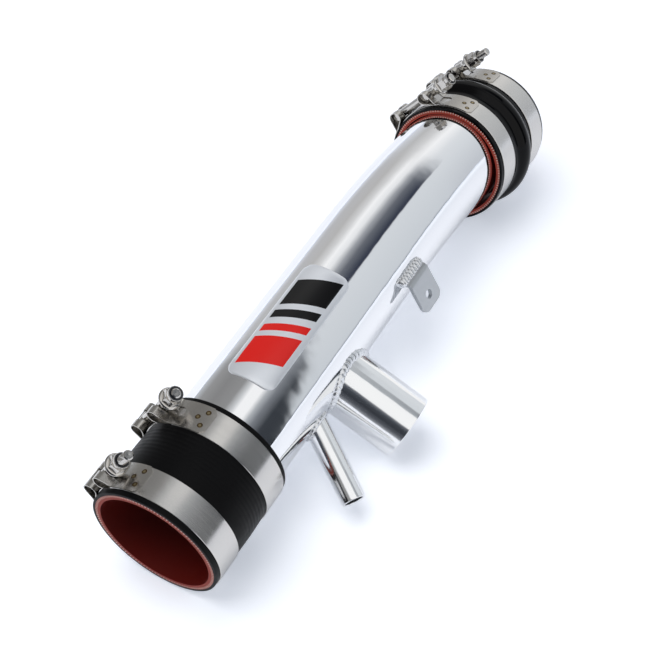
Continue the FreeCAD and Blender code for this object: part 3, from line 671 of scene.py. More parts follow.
@dataclass(frozen=True)
class Port:
    """A stub on the side of the tube, in the tube's frame.

    Attributes:
        name: Name of its CAD node.
        foot: Where its axis meets the tube's axis.
        out: Direction of its axis.
        radius: Outside radius.
        bore: Inside radius.
        reach: Length from the foot to its end.
        scales: Weld scales round it.
        bead: Size of its weld bead.
    """

    name: str
    foot: np.ndarray
    out: np.ndarray
    radius: float
    bore: float
    reach: float
    scales: int
    bead: float

    def spokes(self, a: np.ndarray) -> np.ndarray:
        """Directions cos a u + sin a v, with u and v square to the port, v nearly along the tube.

        Args:
            a: Angles round the port.

        Returns:
            One direction for each angle.
        """
        u = np.cross(self.out, [1.0, 0.0, 0.0])
        u /= np.linalg.norm(u)
        v = np.cross(self.out, u)
        return np.cos(a)[:, None] * u + np.sin(a)[:, None] * v

    def surface_run(self, ring: np.ndarray, radius: float) -> np.ndarray:
        """How far along the port a ring of points meets a cylinder about the tube's axis.

        Solves |q + t d| = radius in the plane square to the axis for each point q.

        Args:
            ring: Points round the port, from its foot.
            radius: Radius of the cylinder.

        Returns:
            The length t for each point.
        """
        start = self.foot + ring
        square = self.out[1] ** 2 + self.out[2] ** 2
        half = start[..., 1] * self.out[1] + start[..., 2] * self.out[2]
        rest = start[..., 1] ** 2 + start[..., 2] ** 2 - radius ** 2
        return (-half + np.sqrt(np.maximum(half ** 2 - square * rest, 0.0))) / square


@dataclass
class IntakeTube:
    """Polished tube with its two ports, bracket, beads and badge, in millimetres on the tube frame.

    The frame's x runs from the straight coupler's mouth along the tube, y to the left and z up.
    Places and starts are lengths along the tube. The bracket bead's two sizes are its height and
    half its width, the badge's are half its length and half its width.
    """

    frame: Frame
    radius: float = 38.1
    wall: float = 1.8
    start: float = 40.0
    bend_start: float = 254.6
    bend_radius: float = 542.0
    bend_turn: float = math.radians(13.0)
    bend_lean: float = math.radians(3.0)
    insert: float = 25.0
    port_radius: float = 22.25
    port_wall: float = 4.8
    port_reach: float = 87.0
    port_place: float = 163.8
    port_dip: float = math.radians(24.0)
    port_edge: float = 0.45
    port_sink: float = 0.4
    port_scales: int = 40
    port_bead: float = 2.9
    nipple_radius: float = 8.0
    nipple_wall: float = 2.0
    nipple_length: float = 53.3
    nipple_place: float = 125.7
    nipple_tilt: float = math.radians(30.9)
    nipple_scales: int = 18
    nipple_bead: float = 2.32
    bracket_place: float = 247.0
    bracket_rise: float = math.radians(14.0)
    bracket_fall: float = math.radians(62.0)
    bracket_width: float = 23.0
    bracket_plate: float = 3.0
    bracket_leg: float = 6.0
    bracket_tab: float = 26.0
    bracket_knee: float = 3.2
    bracket_root: float = -1.5
    bracket_corner: float = 5.5
    bracket_edge: float = 0.35
    bracket_bore: float = 3.3
    bracket_bore_share: float = 0.36
    bracket_scales: int = 9
    bracket_bead: tuple[float, float] = (5.2, 3.8)
    bracket_bead_over: float = 2.4
    bracket_bead_shift: float = 1.2
    bracket_bead_sink: float = 0.3
    badge_place: float = 153.0
    badge_lean: float = math.radians(4.0)
    badge_half: tuple[float, float] = (50.0, 17.0)
    badge_corner: float = 7.0
    badge_height: float = 2.2
    badge_rim: float = 0.12
    badge_sink: float = 0.05

    @property
    def bend_end(self) -> float:
        """Length along the tube where the bend ends."""
        return self.bend_start + self.bend_radius * self.bend_turn

    @property
    def bracket_bend_turn(self) -> float:
        """Angle between the bracket's leg and its tab."""
        return self.bracket_rise + self.bracket_fall

    @property
    def ports(self) -> tuple[Port, Port]:
        """The large port, square to the tube, and the nipple, which leans to the near end.

        Returns:
            Both ports.
        """
        out = np.array([0.0, -math.cos(self.port_dip), -math.sin(self.port_dip)])
        lean = np.array([-math.sin(self.nipple_tilt), 0.0, 0.0])
        foot = self.nipple_place + self.radius * math.tan(self.nipple_tilt)
        reach = self.radius / math.cos(self.nipple_tilt) + self.nipple_length
        return (Port("large_port", np.array([self.port_place, 0.0, 0.0]), out, self.port_radius,
                     self.port_radius - self.port_wall, self.port_reach, self.port_scales,
                     self.port_bead),
                Port("small_port", np.array([foot, 0.0, 0.0]),
                     lean + math.cos(self.nipple_tilt) * out, self.nipple_radius,
                     self.nipple_radius - self.nipple_wall, reach, self.nipple_scales,
                     self.nipple_bead))

    def centre(self, run: np.ndarray) -> tuple[np.ndarray, np.ndarray]:
        """Centre line: straight to the bend, an arc about a point below, then straight.

        Args:
            run: Lengths along the tube from the mouth.

        Returns:
            Points and tangents.
        """
        down = np.array([0.0, -math.sin(self.bend_lean), -math.cos(self.bend_lean)])
        ahead = np.array([1.0, 0.0, 0.0])
        turn = np.clip((run - self.bend_start) / self.bend_radius, 0.0, self.bend_turn)[:, None]
        past = np.maximum(run - self.bend_end, 0.0)[:, None]
        tangent = np.cos(turn) * ahead + np.sin(turn) * down
        arc = self.bend_radius * (np.sin(turn) * ahead + (1 - np.cos(turn)) * down)
        return np.minimum(run, self.bend_start)[:, None] * ahead + arc + past * tangent, tangent

    def hump_frame(self, drop: float) -> Frame:
        """Frame at the end of the bend, with x along the tube.

        Args:
            drop: How far the frame is moved down.

        Returns:
            The frame.
        """
        end, _ = self.centre(np.array([self.bend_end]))
        turn = self.frame.turned(0, -math.degrees(self.bend_lean))
        turn = turn.turned(1, math.degrees(self.bend_turn))
        return Frame(self.frame.row(end[0]), turn.axes).shifted(0.0, 0.0, -drop)

    def rings(self, run: np.ndarray, radii: np.ndarray, cols: int) -> np.ndarray:
        """Rings square to the centre line: centre plus r (cos a side + sin a up).

        Args:
            run: Length along the tube of each ring.
            radii: Radius of each ring.
            cols: Steps round.

        Returns:
            Points, rings by steps by 3.
        """
        centre, tangent = self.centre(run)
        side = np.array([0.0, math.cos(self.bend_lean), -math.sin(self.bend_lean)])
        up = np.cross(tangent, side)[:, None]
        a = angles(cols)[:, None]
        return centre[:, None] + radii[:, None, None] * (np.cos(a) * side + np.sin(a) * up)

    def wall_patch(self, radius: float, rows: int, cols: int) -> Patch:
        """One wall of the tube, with the faces inside each port taken out.

        Args:
            radius: Wall radius.
            rows: Rings along the tube.
            cols: Steps round it.

        Returns:
            The patch.
        """
        run = np.linspace(self.start, self.bend_end + self.insert, rows)
        points = self.rings(run, np.full(rows, radius), cols)
        after = np.roll(points, -1, axis=1)
        middle = 0.25 * (points[:-1] + points[1:] + after[:-1] + after[1:])
        keep = np.ones(middle.shape[:2], dtype=bool)
        for port in self.ports:
            offset = middle - port.foot
            along = offset @ port.out
            away = np.linalg.norm(offset - along[..., None] * port.out, axis=2)
            keep &= (away > 0.5 * (port.radius + port.bore)) | (along < 0)
        return Patch(points, keep=keep)

    def build_tube(self) -> None:
        """Builds the outer and inner walls, joined by a flat ring at each end."""
        cols, lip_rows = 200, 3
        inside = self.radius - self.wall
        patches = [self.wall_patch(self.radius, 260, cols), self.wall_patch(inside, 130, cols)]
        radii = np.linspace(self.radius, inside, lip_rows)
        for place in (self.start, self.bend_end + self.insert):
            patches.append(Patch(self.rings(np.full(lip_rows, place), radii, cols)))
        make_piece("tube_skin", self.frame, patches, [BUFFED_ALUMINIUM],
                   ["intake_tube"])

    def build_port(self, port: Port) -> None:
        """Builds a stub: outer wall up from the tube, a broken edge, and the bore back down.

        Each row is foot + r (cos a u + sin a v) + t d, with t from the tube surface to the end.

        Args:
            port: Which port.
        """
        rows, cut = 24, 0.8 * self.port_edge
        wide, bore, reach = port.radius, port.bore, port.reach
        brow = reach - self.port_edge
        spoke = port.spokes(angles(144))
        foot = port.surface_run(wide * spoke, self.radius) - self.port_sink
        inner_foot = port.surface_run(bore * spoke, self.radius - self.wall)
        share = np.linspace(0.0, 1.0, rows)[:, None]
        lip = rounded([(wide, brow, 0), (wide, reach, cut), (bore, reach, cut), (bore, brow, 0)])
        radii = np.concatenate([np.full(rows, wide), lip[:, 0], np.full(rows, bore)])
        runs = np.concatenate([foot + (brow - foot) * share,
                               np.repeat(lip[:, 1:], len(spoke), 1),
                               brow + (inner_foot - brow) * share])
        points = port.foot + radii[:, None, None] * spoke + runs[..., None] * port.out
        make_piece(port.name + "_stub", self.frame, [Patch(points)], [SATIN_ALUMINIUM],
                   [port.name])

    def build_port_bead(self, port: Port) -> None:
        """Builds the weld bead of overlapping scales round a port.

        A quarter ellipse runs from the tube up the port's wall. Its size swells by the ridge of
        each scale and a small uneven share, and the scales are bowed by the place across the bead.

        Args:
            port: Which port.
        """
        steps, bow, over = 10, 0.42, 0.12
        a = angles(port.scales * steps)
        across = np.linspace(-over, 1.0 + over, 17)[:, None]
        phase = a / TWO_PI * port.scales + bow * np.sin(np.pi * np.clip(across, 0, 1))
        count = np.floor(phase) % port.scales
        uneven = 1.0 + 0.05 * np.sin(count * 2.4) + 0.03 * np.sin(count * 5.3)
        swell = port.bead * (0.86 + 0.17 * scale_ridge(phase)) * uneven
        lean = across * QUARTER
        ring = (port.radius + swell * np.cos(lean))[..., None] * port.spokes(a)
        run = port.surface_run(ring, self.radius) + swell * np.sin(lean)
        points = port.foot + ring + run[..., None] * port.out
        make_piece(port.name + "_bead", self.frame, [Patch(points)], [WELD_ALUMINIUM],
                   [port.name + "_weld"])

    def bracket_bend(self, flat: np.ndarray, lift: np.ndarray) -> np.ndarray:
        """Bends flat places (x, l) about a round knee: straight leg, arc, straight tab.

        Args:
            flat: Array ending in x and the length l from the tube surface.
            lift: Height above the plate's middle.

        Returns:
            Points in the tube frame.
        """
        rise, bend, knee = self.bracket_rise, self.bracket_bend_turn, self.bracket_knee
        first = self.bracket_leg - knee * math.tan(bend / 2)
        length = flat[..., 1]
        along = rise - np.clip((length - first) / knee, 0.0, bend)
        past = np.maximum(length - first - knee * bend, 0.0)
        lead = np.minimum(length, first) + self.radius
        y = lead * math.cos(rise) + knee * (math.sin(rise) - np.sin(along))
        z = lead * math.sin(rise) + knee * (np.cos(along) - math.cos(rise))
        y, z = y + past * np.cos(along), z + past * np.sin(along)
        y, z = y - lift * np.sin(along), z + lift * np.cos(along)
        return grid(flat[..., 0] + self.bracket_place, -y, z)

    def build_bracket(self) -> None:
        """Builds a flat blank with a hole and two round corners, then bends it.

        The blank is swept in rays from the hole: (1 - k) hole edge + k outline, on both faces, with
        an eased edge between them.
        """
        bend, cut, edge = self.bracket_bend_turn, self.bracket_corner, self.bracket_edge
        length = self.bracket_leg + self.bracket_tab
        length -= self.bracket_knee * (2 * math.tan(bend / 2) - bend)
        half, plate, root = self.bracket_width / 2, self.bracket_plate / 2, self.bracket_root
        inner, top = half - cut, length - cut
        turn = np.linspace(0, QUARTER, 17)
        outline = np.concatenate([
            grid(inner + cut * np.sin(turn), top + cut * np.cos(turn)),
            grid(half, np.linspace(top, root, 31)[1:]),
            grid(np.linspace(half, -half, 25)[1:], root),
            grid(-half, np.linspace(root, top, 31)[1:]),
            grid(-inner - cut * np.cos(turn), top + cut * np.sin(turn))[1:],
            grid(np.linspace(-inner, inner, 12)[1:-1], length)])
        hole = np.array([0.0, length - self.bracket_tab * self.bracket_bore_share])
        bearing = np.arctan2(outline[:, 0] - hole[0], outline[:, 1] - hole[1])
        rim = hole + self.bracket_bore * grid(np.sin(bearing), np.cos(bearing))
        share = np.linspace(0, 1, 40)[:, None, None]
        flat = rim * (1 - share) + outline * share
        flat[-1] += (hole - outline) / np.linalg.norm(hole - outline, axis=1)[:, None] * edge
        lift = np.full(flat.shape[:2], plate)
        brow = lift[:1] * (1 - edge / plate)
        rows = np.concatenate([flat, np.stack([outline, outline]), flat[::-1], flat[:1]])
        heights = np.concatenate([lift, brow, -brow, -lift, lift[:1]])
        make_piece("bracket_plate", self.frame, [Patch(self.bracket_bend(rows, heights))],
                   [MILL_ALUMINIUM], ["mounting_bracket"])

    def build_bracket_bead(self) -> None:
        """Builds the straight weld between the tube and the leg, round at both ends.

        A half ellipse section is carried along the tube. Its size swells by the ridge of each bowed
        scale and falls to nothing at the ends by sqrt(1 - |s|^8).
        """
        steps, bow, tilt = 12, 0.45, self.bracket_rise
        half = self.bracket_width / 2 + self.bracket_bead_over
        run = np.linspace(-1.0, 1.0, self.bracket_scales * steps + 1)
        across = np.linspace(0.0, np.pi, 25)[:, None]
        phase = (run + 1) / 2 * self.bracket_scales + bow * np.sin(across)
        uneven = 1 + 0.03 * np.sin(np.floor(phase) * 2.1)
        swell = (0.92 + 0.13 * scale_ridge(phase)) * uneven
        swell = swell * np.sqrt(np.maximum(1 - np.abs(run) ** 8, 0.0))
        high, wide = self.bracket_bead
        shift = np.cos(across) * wide * swell + self.bracket_bead_shift
        radial = np.sqrt(np.maximum(self.radius ** 2 - shift ** 2, 0.0))
        radial += np.sin(across) * high * swell - self.bracket_bead_sink
        y = radial * math.cos(tilt) - shift * math.sin(tilt)
        z = radial * math.sin(tilt) + shift * math.cos(tilt)
        points = grid(self.bracket_place + run * half, -y, z)
        make_piece("bracket_bead", self.frame, [Patch(points, False)], [WELD_ALUMINIUM],
                   ["bracket_weld"])

    def build_badge(self) -> None:
        """Builds the domed pad: rays s from its middle to a rounded rectangle, laid on the tube.

        Its height is the rim's plus the rest times (1 - s^7)^0.5.
        """
        half_x, half_y = self.badge_half
        cut = self.badge_corner
        turn = np.linspace(0, QUARTER, 13)
        corners = [grid(sx * (half_x - cut) + cut * np.cos(turn + k * QUARTER),
                        sy * (half_y - cut) + cut * np.sin(turn + k * QUARTER))
                   for k, (sx, sy) in enumerate(((1, 1), (-1, 1), (-1, -1), (1, -1)))]
        outline = even(np.concatenate([*corners, corners[0][:1]]), 1.6)[0][:-1]
        s = np.concatenate([np.linspace(0.001, 0.9, 26), np.linspace(0.92, 1.0, 12)])[:, None]
        flat = s[..., None] * outline
        height = self.badge_rim + (self.badge_height - self.badge_rim) * np.sqrt(1 - s ** 7)
        height[-1] = -self.badge_sink
        radial = self.radius + height
        around = flat[..., 1] / self.radius - self.badge_lean
        points = grid(self.badge_place + flat[..., 0], radial * np.sin(around),
                      radial * np.cos(around))
        uv = np.concatenate([flat, flat[:, :1]], axis=1)
        make_piece("badge_dome", self.frame, [Patch(points, uv=uv)], [DOMED_BADGE],
                   ["badge"])

    def build(self) -> None:
        """Builds the tube and everything welded or stuck to it."""
        self.build_tube()
        for port in self.ports:
            self.build_port(port)
        for port in self.ports:
            self.build_port_bead(port)
        self.build_bracket()
        self.build_bracket_bead()
        self.build_badge()


# Couplers


@dataclass
class Coupler:
    """Silicone hose with a black cover and a red liner; x runs from its mouth.

    A hump of some height makes it a hump hose; a step makes the bore narrower before step_place.
    On a plain hose, wrap gives the free length between the clamps, where the wrap lines show.
    """

    frame: Frame
    name: str
    bore: float
    skin: Finish
    hump: float = 0.0
    step: float = 0.0
    length: float = 76.2
    liner: float = 2.8
    cover: float = 1.9
    crest: float = 9.0
    root: float = 6.0
    step_place: float = 39.9
    step_length: float = 0.05
    margin: float = 2.0
    wrap: tuple[float, float] = (23.0, 53.2)
    wrap_pitch: float = 2.9
    wrap_depth: float = 0.055
    wrap_swell: float = 0.35
    end_inset: float = 0.05

    @property
    def outside(self) -> float:
        """Outside radius of the plain ends."""
        return self.bore + self.liner + self.cover

    def hump_rows(self, depth: float) -> np.ndarray:
        """Outside profile less depth: flat, root arc, crest arc, root arc, flat.

        The arcs keep their centres, so the root radius grows and the crest radius shrinks by depth.

        Args:
            depth: How deep the face lies under the outside.

        Returns:
            Rows of x and r.
        """
        total, mid = self.crest + self.root, self.length / 2
        reach = math.sqrt(self.hump * (2 * total - self.hump))
        swing = math.asin(reach / total)
        k, over = np.linspace(0.0, swing, 12), np.linspace(-swing, swing, 25)[1:-1]
        low, high = self.root + depth, self.crest - depth
        left = grid(mid - reach + low * np.sin(k), self.outside + self.root - low * np.cos(k))
        top = grid(mid + high * np.sin(over),
                   self.outside + self.hump - self.crest + high * np.cos(over))
        right = grid(2 * mid - left[::-1, 0], left[::-1, 1])
        return np.concatenate([left, top, right])

    def wrapped_rows(self) -> np.ndarray:
        """Outside of a plain hose: its radius plus a low swell and the lines of the wrapping.

        The swell is a half sine over the free length and the lines are a sine of x, and both fade
        out towards the clamps.

        Returns:
            Rows of x and r.
        """
        begin, end = self.wrap
        edge, fade_start, fade_length = 3.0, 4.0, 10.0
        x = np.linspace(self.margin, self.length - self.margin, 200)
        free = np.clip((x - begin) / edge, 0, 1) * np.clip((end - x) / edge, 0, 1)
        fade = np.clip((x - begin - fade_start) / fade_length, 0, 1)
        lines = self.wrap_depth * np.sin(TWO_PI * x / self.wrap_pitch) * fade
        swell = self.wrap_swell * np.sin(np.pi * np.clip((x - begin) / (end - begin), 0, 1))
        return grid(x, self.outside + (lines + swell) * free)

    def rows(self, depth: float) -> np.ndarray:
        """Profile of one face of the hose.

        Args:
            depth: How deep the face lies under the outside.

        Returns:
            Rows of x and r.
        """
        flat = self.outside - depth
        if self.hump:
            middle = self.hump_rows(depth)
        elif depth > 0:
            before, last = self.step_place - self.step_length, self.length - self.margin
            middle = grid(np.concatenate([np.linspace(self.margin, before, 16),
                                          np.linspace(self.step_place, last, 16)]), flat)
        else:
            middle = self.wrapped_rows()
        whole = np.concatenate([[[0.0, flat]], middle, [[self.length, flat]]])
        if depth > self.cover:
            whole[:, 1] -= self.step * (whole[:, 0] < self.step_place)
        return whole

    def build(self) -> None:
        """Builds the cover and the liner as closed turned walls with eased mouth edges.

        The liner's cut ends carry texture places round the middle of the wall and out through it.
        """
        cols = 192
        outer, split = self.rows(0.0), self.rows(self.cover)
        inner = self.rows(self.cover + self.liner)
        lip = np.array([[0.0, -0.5], [0.12, -0.12], [0.5, 0.0]]) + [0.0, outer[0, 1]]
        far_lip = grid(self.length - lip[::-1, 0], lip[::-1, 1])
        cover = np.concatenate([split[:1], lip, outer[1:-1], far_lip, split[::-1]])
        make_piece(self.name + "_cover_skin", self.frame, [turned(cover, cols)], [self.skin],
                   [self.name + "_cover"])
        ends = (self.end_inset, self.length - self.end_inset)
        patches = []
        for wall in (inner.copy(), split.copy()):
            wall[[0, -1], 0] = ends
            patches.append(turned(wall, cols))
        depth = np.linspace(0.0, 1.0, 9)[:, None]
        for x, edge in zip(ends, inner[[0, -1], 1]):
            radius = edge + (split[0, 1] - edge) * depth
            face = turned(np.concatenate([np.full_like(radius, x), radius], 1), cols, 1)
            around = np.linspace(0.0, math.pi * (edge + split[0, 1]), cols + 1)
            face.uv = grid(around, depth * self.liner)
            patches.append(face)
        make_piece(self.name + "_liner_skin", self.frame, patches, [RED_SILICONE, CUT_SILICONE],
                   [self.name + "_liner"])


# Clamps


@dataclass
class TBoltClamp:
    """T-bolt clamp; x along the hose, the bolt across the top with its nut to the right (-y).

    Its loops stand at offset to the left and right, and tail is the bolt's length past the nut.
    """

    frame: Frame
    name: str
    inner: float
    offset: float
    tail: float
    width: float = 19.0
    sheet: float = 0.65
    sheet_ease: float = 0.25
    lap_gap: float = 0.03
    loop: float = 4.6
    bridge: float = 0.5
    bolt_clear: float = 0.7
    foot: float = 9.2
    strap_turn: float = math.radians(29.5)
    strap_corner: float = 3.0
    strap_start: float = 0.5
    slot_turn: float = math.radians(5.2)
    slot_half: float = 4.1
    spot_radius: float = 1.75
    spot_places: tuple[tuple[float, float], ...] = ((-4.6, 4.7), (5.0, 4.9), (0.2, 9.3))
    barrel: float = 3.4
    barrel_length: float = 12.0
    shank: float = 3.0
    shank_tip: float = 0.6
    pitch: float = 1.0
    thread_depth: float = 0.32
    clearance: float = 0.1
    neck: float = 3.7
    neck_flare: float = 0.7
    neck_length: float = 13.5
    flange: float = 7.0
    flange_height: float = 1.5
    hex_half: float = 5.0
    hex_height: float = 6.0
    collar: float = 5.0
    collar_height: float = 3.2
    insert: float = 4.3
    insert_height: float = 2.0

    @property
    def height(self) -> float:
        """Height of the bolt's axis over the hose's axis."""
        return self.inner + self.bridge + self.shank + self.bolt_clear

    @property
    def leave(self) -> float:
        """Angle from the top at which the band leaves the hose on a straight line to its loop."""
        reach = math.hypot(self.offset, self.height)
        return math.atan2(self.offset, self.height) + math.acos((self.inner + self.loop) / reach)

    @property
    def rise(self) -> float:
        """Length of the straight line from the hose to the loop."""
        return math.sqrt(self.offset ** 2 + self.height ** 2 - (self.inner + self.loop) ** 2)

    @property
    def lap(self) -> float:
        """Height of the strap's middle line over the inside of the band."""
        return 1.5 * self.sheet + self.lap_gap

    @property
    def strap_radius(self) -> float:
        """Radius of the strap's middle line, laid on the band."""
        return self.inner + self.lap

    def hoop(self) -> Patch:
        """Band from one loop round to the other: an eased strip section carried round the circle.

        Returns:
            A patch with closed ends.
        """
        half, ease = self.width / 2, self.sheet_ease
        x = np.concatenate([[-half], np.linspace(-half + ease, half - ease, 9), [half]])
        outer = np.where(np.abs(x) >= half, self.sheet - ease, self.sheet)
        section = np.concatenate([grid(x, outer), grid(x[::-1], 0.0)])
        a = np.linspace(self.leave, TWO_PI - self.leave, 181)[:, None]
        r = self.inner + section[:, 1]
        points = grid(section[:, 0], r * np.sin(a), r * np.cos(a))
        uv = grid(np.append(section[:, 0], section[0, 0]), a * self.inner)
        return Patch(points, caps=True, uv=uv)

    def fold_path(self, side: int) -> tuple[np.ndarray, np.ndarray]:
        """Middle line of a folded end in (y, z): off the hose, round the loop, down and along.

        The loop is a circle that the straight part touches at its lowest point, and the ramp down
        to the strap is a tangent of it; (t, n) of the flat parts run along the straight line and
        square to it.

        Args:
            side: 1 for the bolt head's loop, -1 for the nut's.

        Returns:
            Points and lengths run.
        """
        r, lap, step = self.loop - self.sheet / 2, self.lap, 0.3
        gap = math.hypot(self.foot, self.loop - lap)
        bearing = math.atan2(self.loop - lap, -self.foot) - math.asin(r / gap)
        reach = math.sqrt(gap ** 2 - r ** 2)
        touch_t, touch_n = self.foot + reach * math.cos(bearing), lap + reach * math.sin(bearing)
        last = math.atan2(touch_n - self.loop, touch_t)
        k = np.linspace(-QUARTER, last - TWO_PI, 60)
        ring = grid(r * np.cos(k), self.loop + r * np.sin(k))
        flat = np.concatenate([[[self.rise, self.sheet / 2]], ring, [[self.foot, lap]]])
        if self.rise > self.foot + self.strap_start:
            flat = np.concatenate([flat, [[self.rise, lap]]])
        out = np.array([math.sin(self.leave), math.cos(self.leave)])
        back = np.array([math.cos(self.leave), -math.sin(self.leave)])
        low = np.array([self.offset, self.height]) - self.loop * out
        lead = max(self.foot + self.strap_start - self.rise, self.strap_start)
        sweep = np.linspace(self.leave + lead / self.strap_radius, self.leave + self.strap_turn, 40)
        strap = self.strap_radius * grid(np.sin(sweep), np.cos(sweep))
        whole = np.concatenate([low + flat[:, :1] * back + flat[:, 1:] * out, strap])
        path, run = even(smoothed(even(whole, step)[0], 6), step)
        path[:, 0] *= side
        return path, run

    def slab(self, path: np.ndarray, run: np.ndarray, x: np.ndarray,
             first: Union[float, np.ndarray], last: Union[float, np.ndarray]) -> Patch:
        """Strip of the folded end: the middle line moved out by half a sheet to either side.

        Args:
            path: Middle line in (y, z).
            run: Lengths run.
            x: Columns across the strip.
            first: Start length, for all columns or each.
            last: End length, for all columns or each.

        Returns:
            A patch with closed ends.
        """
        first, last = first + 0.0 * x, last + 0.0 * x
        steps = max(int((last.max() - first.min()) / 0.45), 8)
        length = first + (last - first) * np.linspace(0.0, 1.0, steps)[:, None]
        slope = np.gradient(path, run, axis=0)
        slope /= np.linalg.norm(slope, axis=1)[:, None]
        normal = grid(-slope[:, 1], slope[:, 0])

        def at(table: np.ndarray) -> np.ndarray:
            """Values of a table of the path at every wanted length."""
            return np.stack([np.interp(length, run, column) for column in table.T], axis=2)

        middle, lift = at(path), at(normal) * self.sheet / 2
        wide = np.broadcast_to(x, length.shape)[..., None]
        upper = np.concatenate([wide, middle + lift], axis=2)
        lower = np.concatenate([wide, middle - lift], axis=2)
        points = np.concatenate([upper, lower[:, ::-1]], axis=1)
        uv = grid(np.concatenate([x, x[::-1], x[:1]]), length.mean(1)[:, None])
        # Finish 2 is the darker copy of the band's steel, which paints shade on the folded ends
        return Patch(points, caps=True, uv=uv, finish=2)

    def folds(self) -> list[Patch]:
        """Both folded ends: two side strips, the straight start, and a middle strip past the slot.

        Returns:
            The patches of both ends.
        """
        patches = []
        half, slot = self.width / 2, self.slot_half
        loop_top = self.rise + (self.loop - self.sheet / 2) * np.pi
        for side in (1, -1):
            path, run = self.fold_path(side)
            end = run[-1]
            for edge in (1, -1):
                x = np.sort(edge * np.linspace(slot, half, 8))
                clip = end - np.maximum(np.abs(x) - (half - self.strap_corner), 0.0)
                patches.append(self.slab(path, run, x, 0.0, clip))
            x = np.linspace(-slot, slot, 19)
            patches.append(self.slab(path, run, x, 0.0, self.rise))
            slot_end = end - (self.strap_turn - self.slot_turn) * self.strap_radius
            round_end = slot_end - slot + np.sqrt(np.maximum(slot ** 2 - x ** 2, 0.0))
            patches.append(self.slab(path, run, x, loop_top if side > 0 else round_end, end))
        return patches

    def spots(self) -> list[Patch]:
        """Spot welds on both straps: shallow dished discs, tinted by the place from middle to rim.

        Each disc is a polar grid laid on the strap, raised by a low middle and a higher ring.

        Returns:
            One patch for each spot.
        """
        patches = []
        dish, ring, clear = 0.05, 0.18, 0.01
        a, s = angles(24), np.linspace(0.0, 1.0, 9)[:, None]
        strap = self.strap_radius + self.sheet / 2
        r = strap + np.where(s < 0.7, dish, ring) * (1 - s ** 8) + clear
        uv = grid(np.zeros(len(a) + 1), s)
        for side in (1, -1):
            for x, short in self.spot_places:
                middle = self.leave + self.strap_turn - short / strap
                place = middle + self.spot_radius * s * np.sin(a) / strap
                points = grid(x + self.spot_radius * s * np.cos(a), side * r * np.sin(place),
                              r * np.cos(place))
                patches.append(Patch(points, uv=uv, finish=1))
        return patches

    def across(self, rows: np.ndarray, y: float, count: int = 48, finish: int = 0,
               shape: Optional[Callable[[np.ndarray, np.ndarray], np.ndarray]] = None) -> Patch:
        """Surface turned about the bolt's axis: (t, r) becomes (r cos a, y - t, height + r sin a).

        Args:
            rows: Rows of length t and radius.
            y: Where t is 0.
            count: Steps round.
            finish: Finish of the patch.
            shape: Optional function of t and r that gives the radius at every angle.

        Returns:
            The patch.
        """
        a = angles(count)
        t, r = rows[:, :1] + 0 * a, rows[:, 1:] + 0 * a
        if shape is not None:
            r = shape(t, r)
        points = grid(r * np.cos(a), y - t, self.height + r * np.sin(a))
        return Patch(points, finish=finish)

    def bar(self, y: float) -> Patch:
        """Cross barrel at one loop: an eased profile turned about a line along x.

        Args:
            y: Place of the loop.

        Returns:
            The patch.
        """
        half, r, ease = self.barrel_length / 2, self.barrel, 0.6
        rows = rounded([(-half, ON_AXIS, 0), (-half, r, ease), (half, r, ease), (half, ON_AXIS, 0)])
        a = angles(40)
        radius = rows[:, 1:]
        return Patch(grid(rows[:, :1], y + radius * np.cos(a), self.height + radius * np.sin(a)))

    def bolt(self) -> list[Patch]:
        """T head and threaded shank: radius less a triangle wave of t - pitch * angle / turn.

        Returns:
            The shank and the head.
        """
        nut_height = self.flange_height + self.hex_height + self.collar_height
        total = 2 * self.offset + self.neck_length + nut_height + self.tail
        body_end = total - self.shank_tip
        step, fade, bevel, dish = 0.17, 0.8, 0.7, 1.6
        a = angles(48)

        def thread(t: np.ndarray, r: np.ndarray) -> np.ndarray:
            """Radius less the thread's groove, which starts past the trunnion and fades at the tip.

            Args:
                t: Lengths along the bolt.
                r: Plain radii.

            Returns:
                The radius at each length and angle.
            """
            phase = (t / self.pitch - a / TWO_PI) % 1.0
            body = np.clip((body_end - t) / fade, 0.0, 1.0) * (t > 2 * self.offset)
            groove = self.thread_depth * (1 - np.abs(2 * phase - 1)) * body
            return np.maximum(r - groove, ON_AXIS)

        tip = [[body_end, self.shank], [total, self.shank - bevel], [total, dish],
               [total - 0.1, ON_AXIS]]
        shank = grid(np.arange(0.0, body_end, step), self.shank)
        rows = np.concatenate([[[0.0, ON_AXIS]], shank, tip])
        return [self.across(rows, self.offset, shape=thread), self.bar(self.offset)]

    def trunnion(self) -> list[Patch]:
        """Barrel and neck of the trunnion; the neck flares a little to the nut.

        Returns:
            The neck and the barrel.
        """
        bore, wide = self.shank + self.clearance, self.neck + self.neck_flare
        start, flare_start, flare_end, end = 1.0, 8.0, 9.6, self.neck_length
        rows = rounded([(start, bore, 0), (start, self.neck, 0.2), (flare_start, self.neck, 0.6),
                        (flare_end, wide, 0.5), (end, wide, 0.4), (end, bore, 0)])
        return [self.across(rows, -self.offset), self.bar(-self.offset)]

    def nut(self) -> list[Patch]:
        """Flanged lock nut: coned flange, hexagon min(flat / cos, chamfer), round collar.

        Returns:
            The nut and its insert ring.
        """
        cols, sixth, asked = 96, math.pi / 6, 99.0
        crown, slope, cone, seam, lip = 5.15, 1.3, 5.9, 4.5, 4.7
        bore = self.shank + self.clearance
        low = self.flange_height
        top = low + self.hex_height
        end = top + self.collar_height
        deep, ring = end - self.insert_height, self.insert - 0.05
        wedge = self.hex_half / np.cos((angles(cols) + sixth) % (2 * sixth) - sixth)

        def six(t: np.ndarray, r: np.ndarray) -> np.ndarray:
            """Radius cut to the chamfered hexagon where the row asks for it."""
            chamfer = crown + slope * np.clip(top - t, 0.0, 2.0)
            return np.where(r >= asked, np.minimum(wedge, chamfer), r)

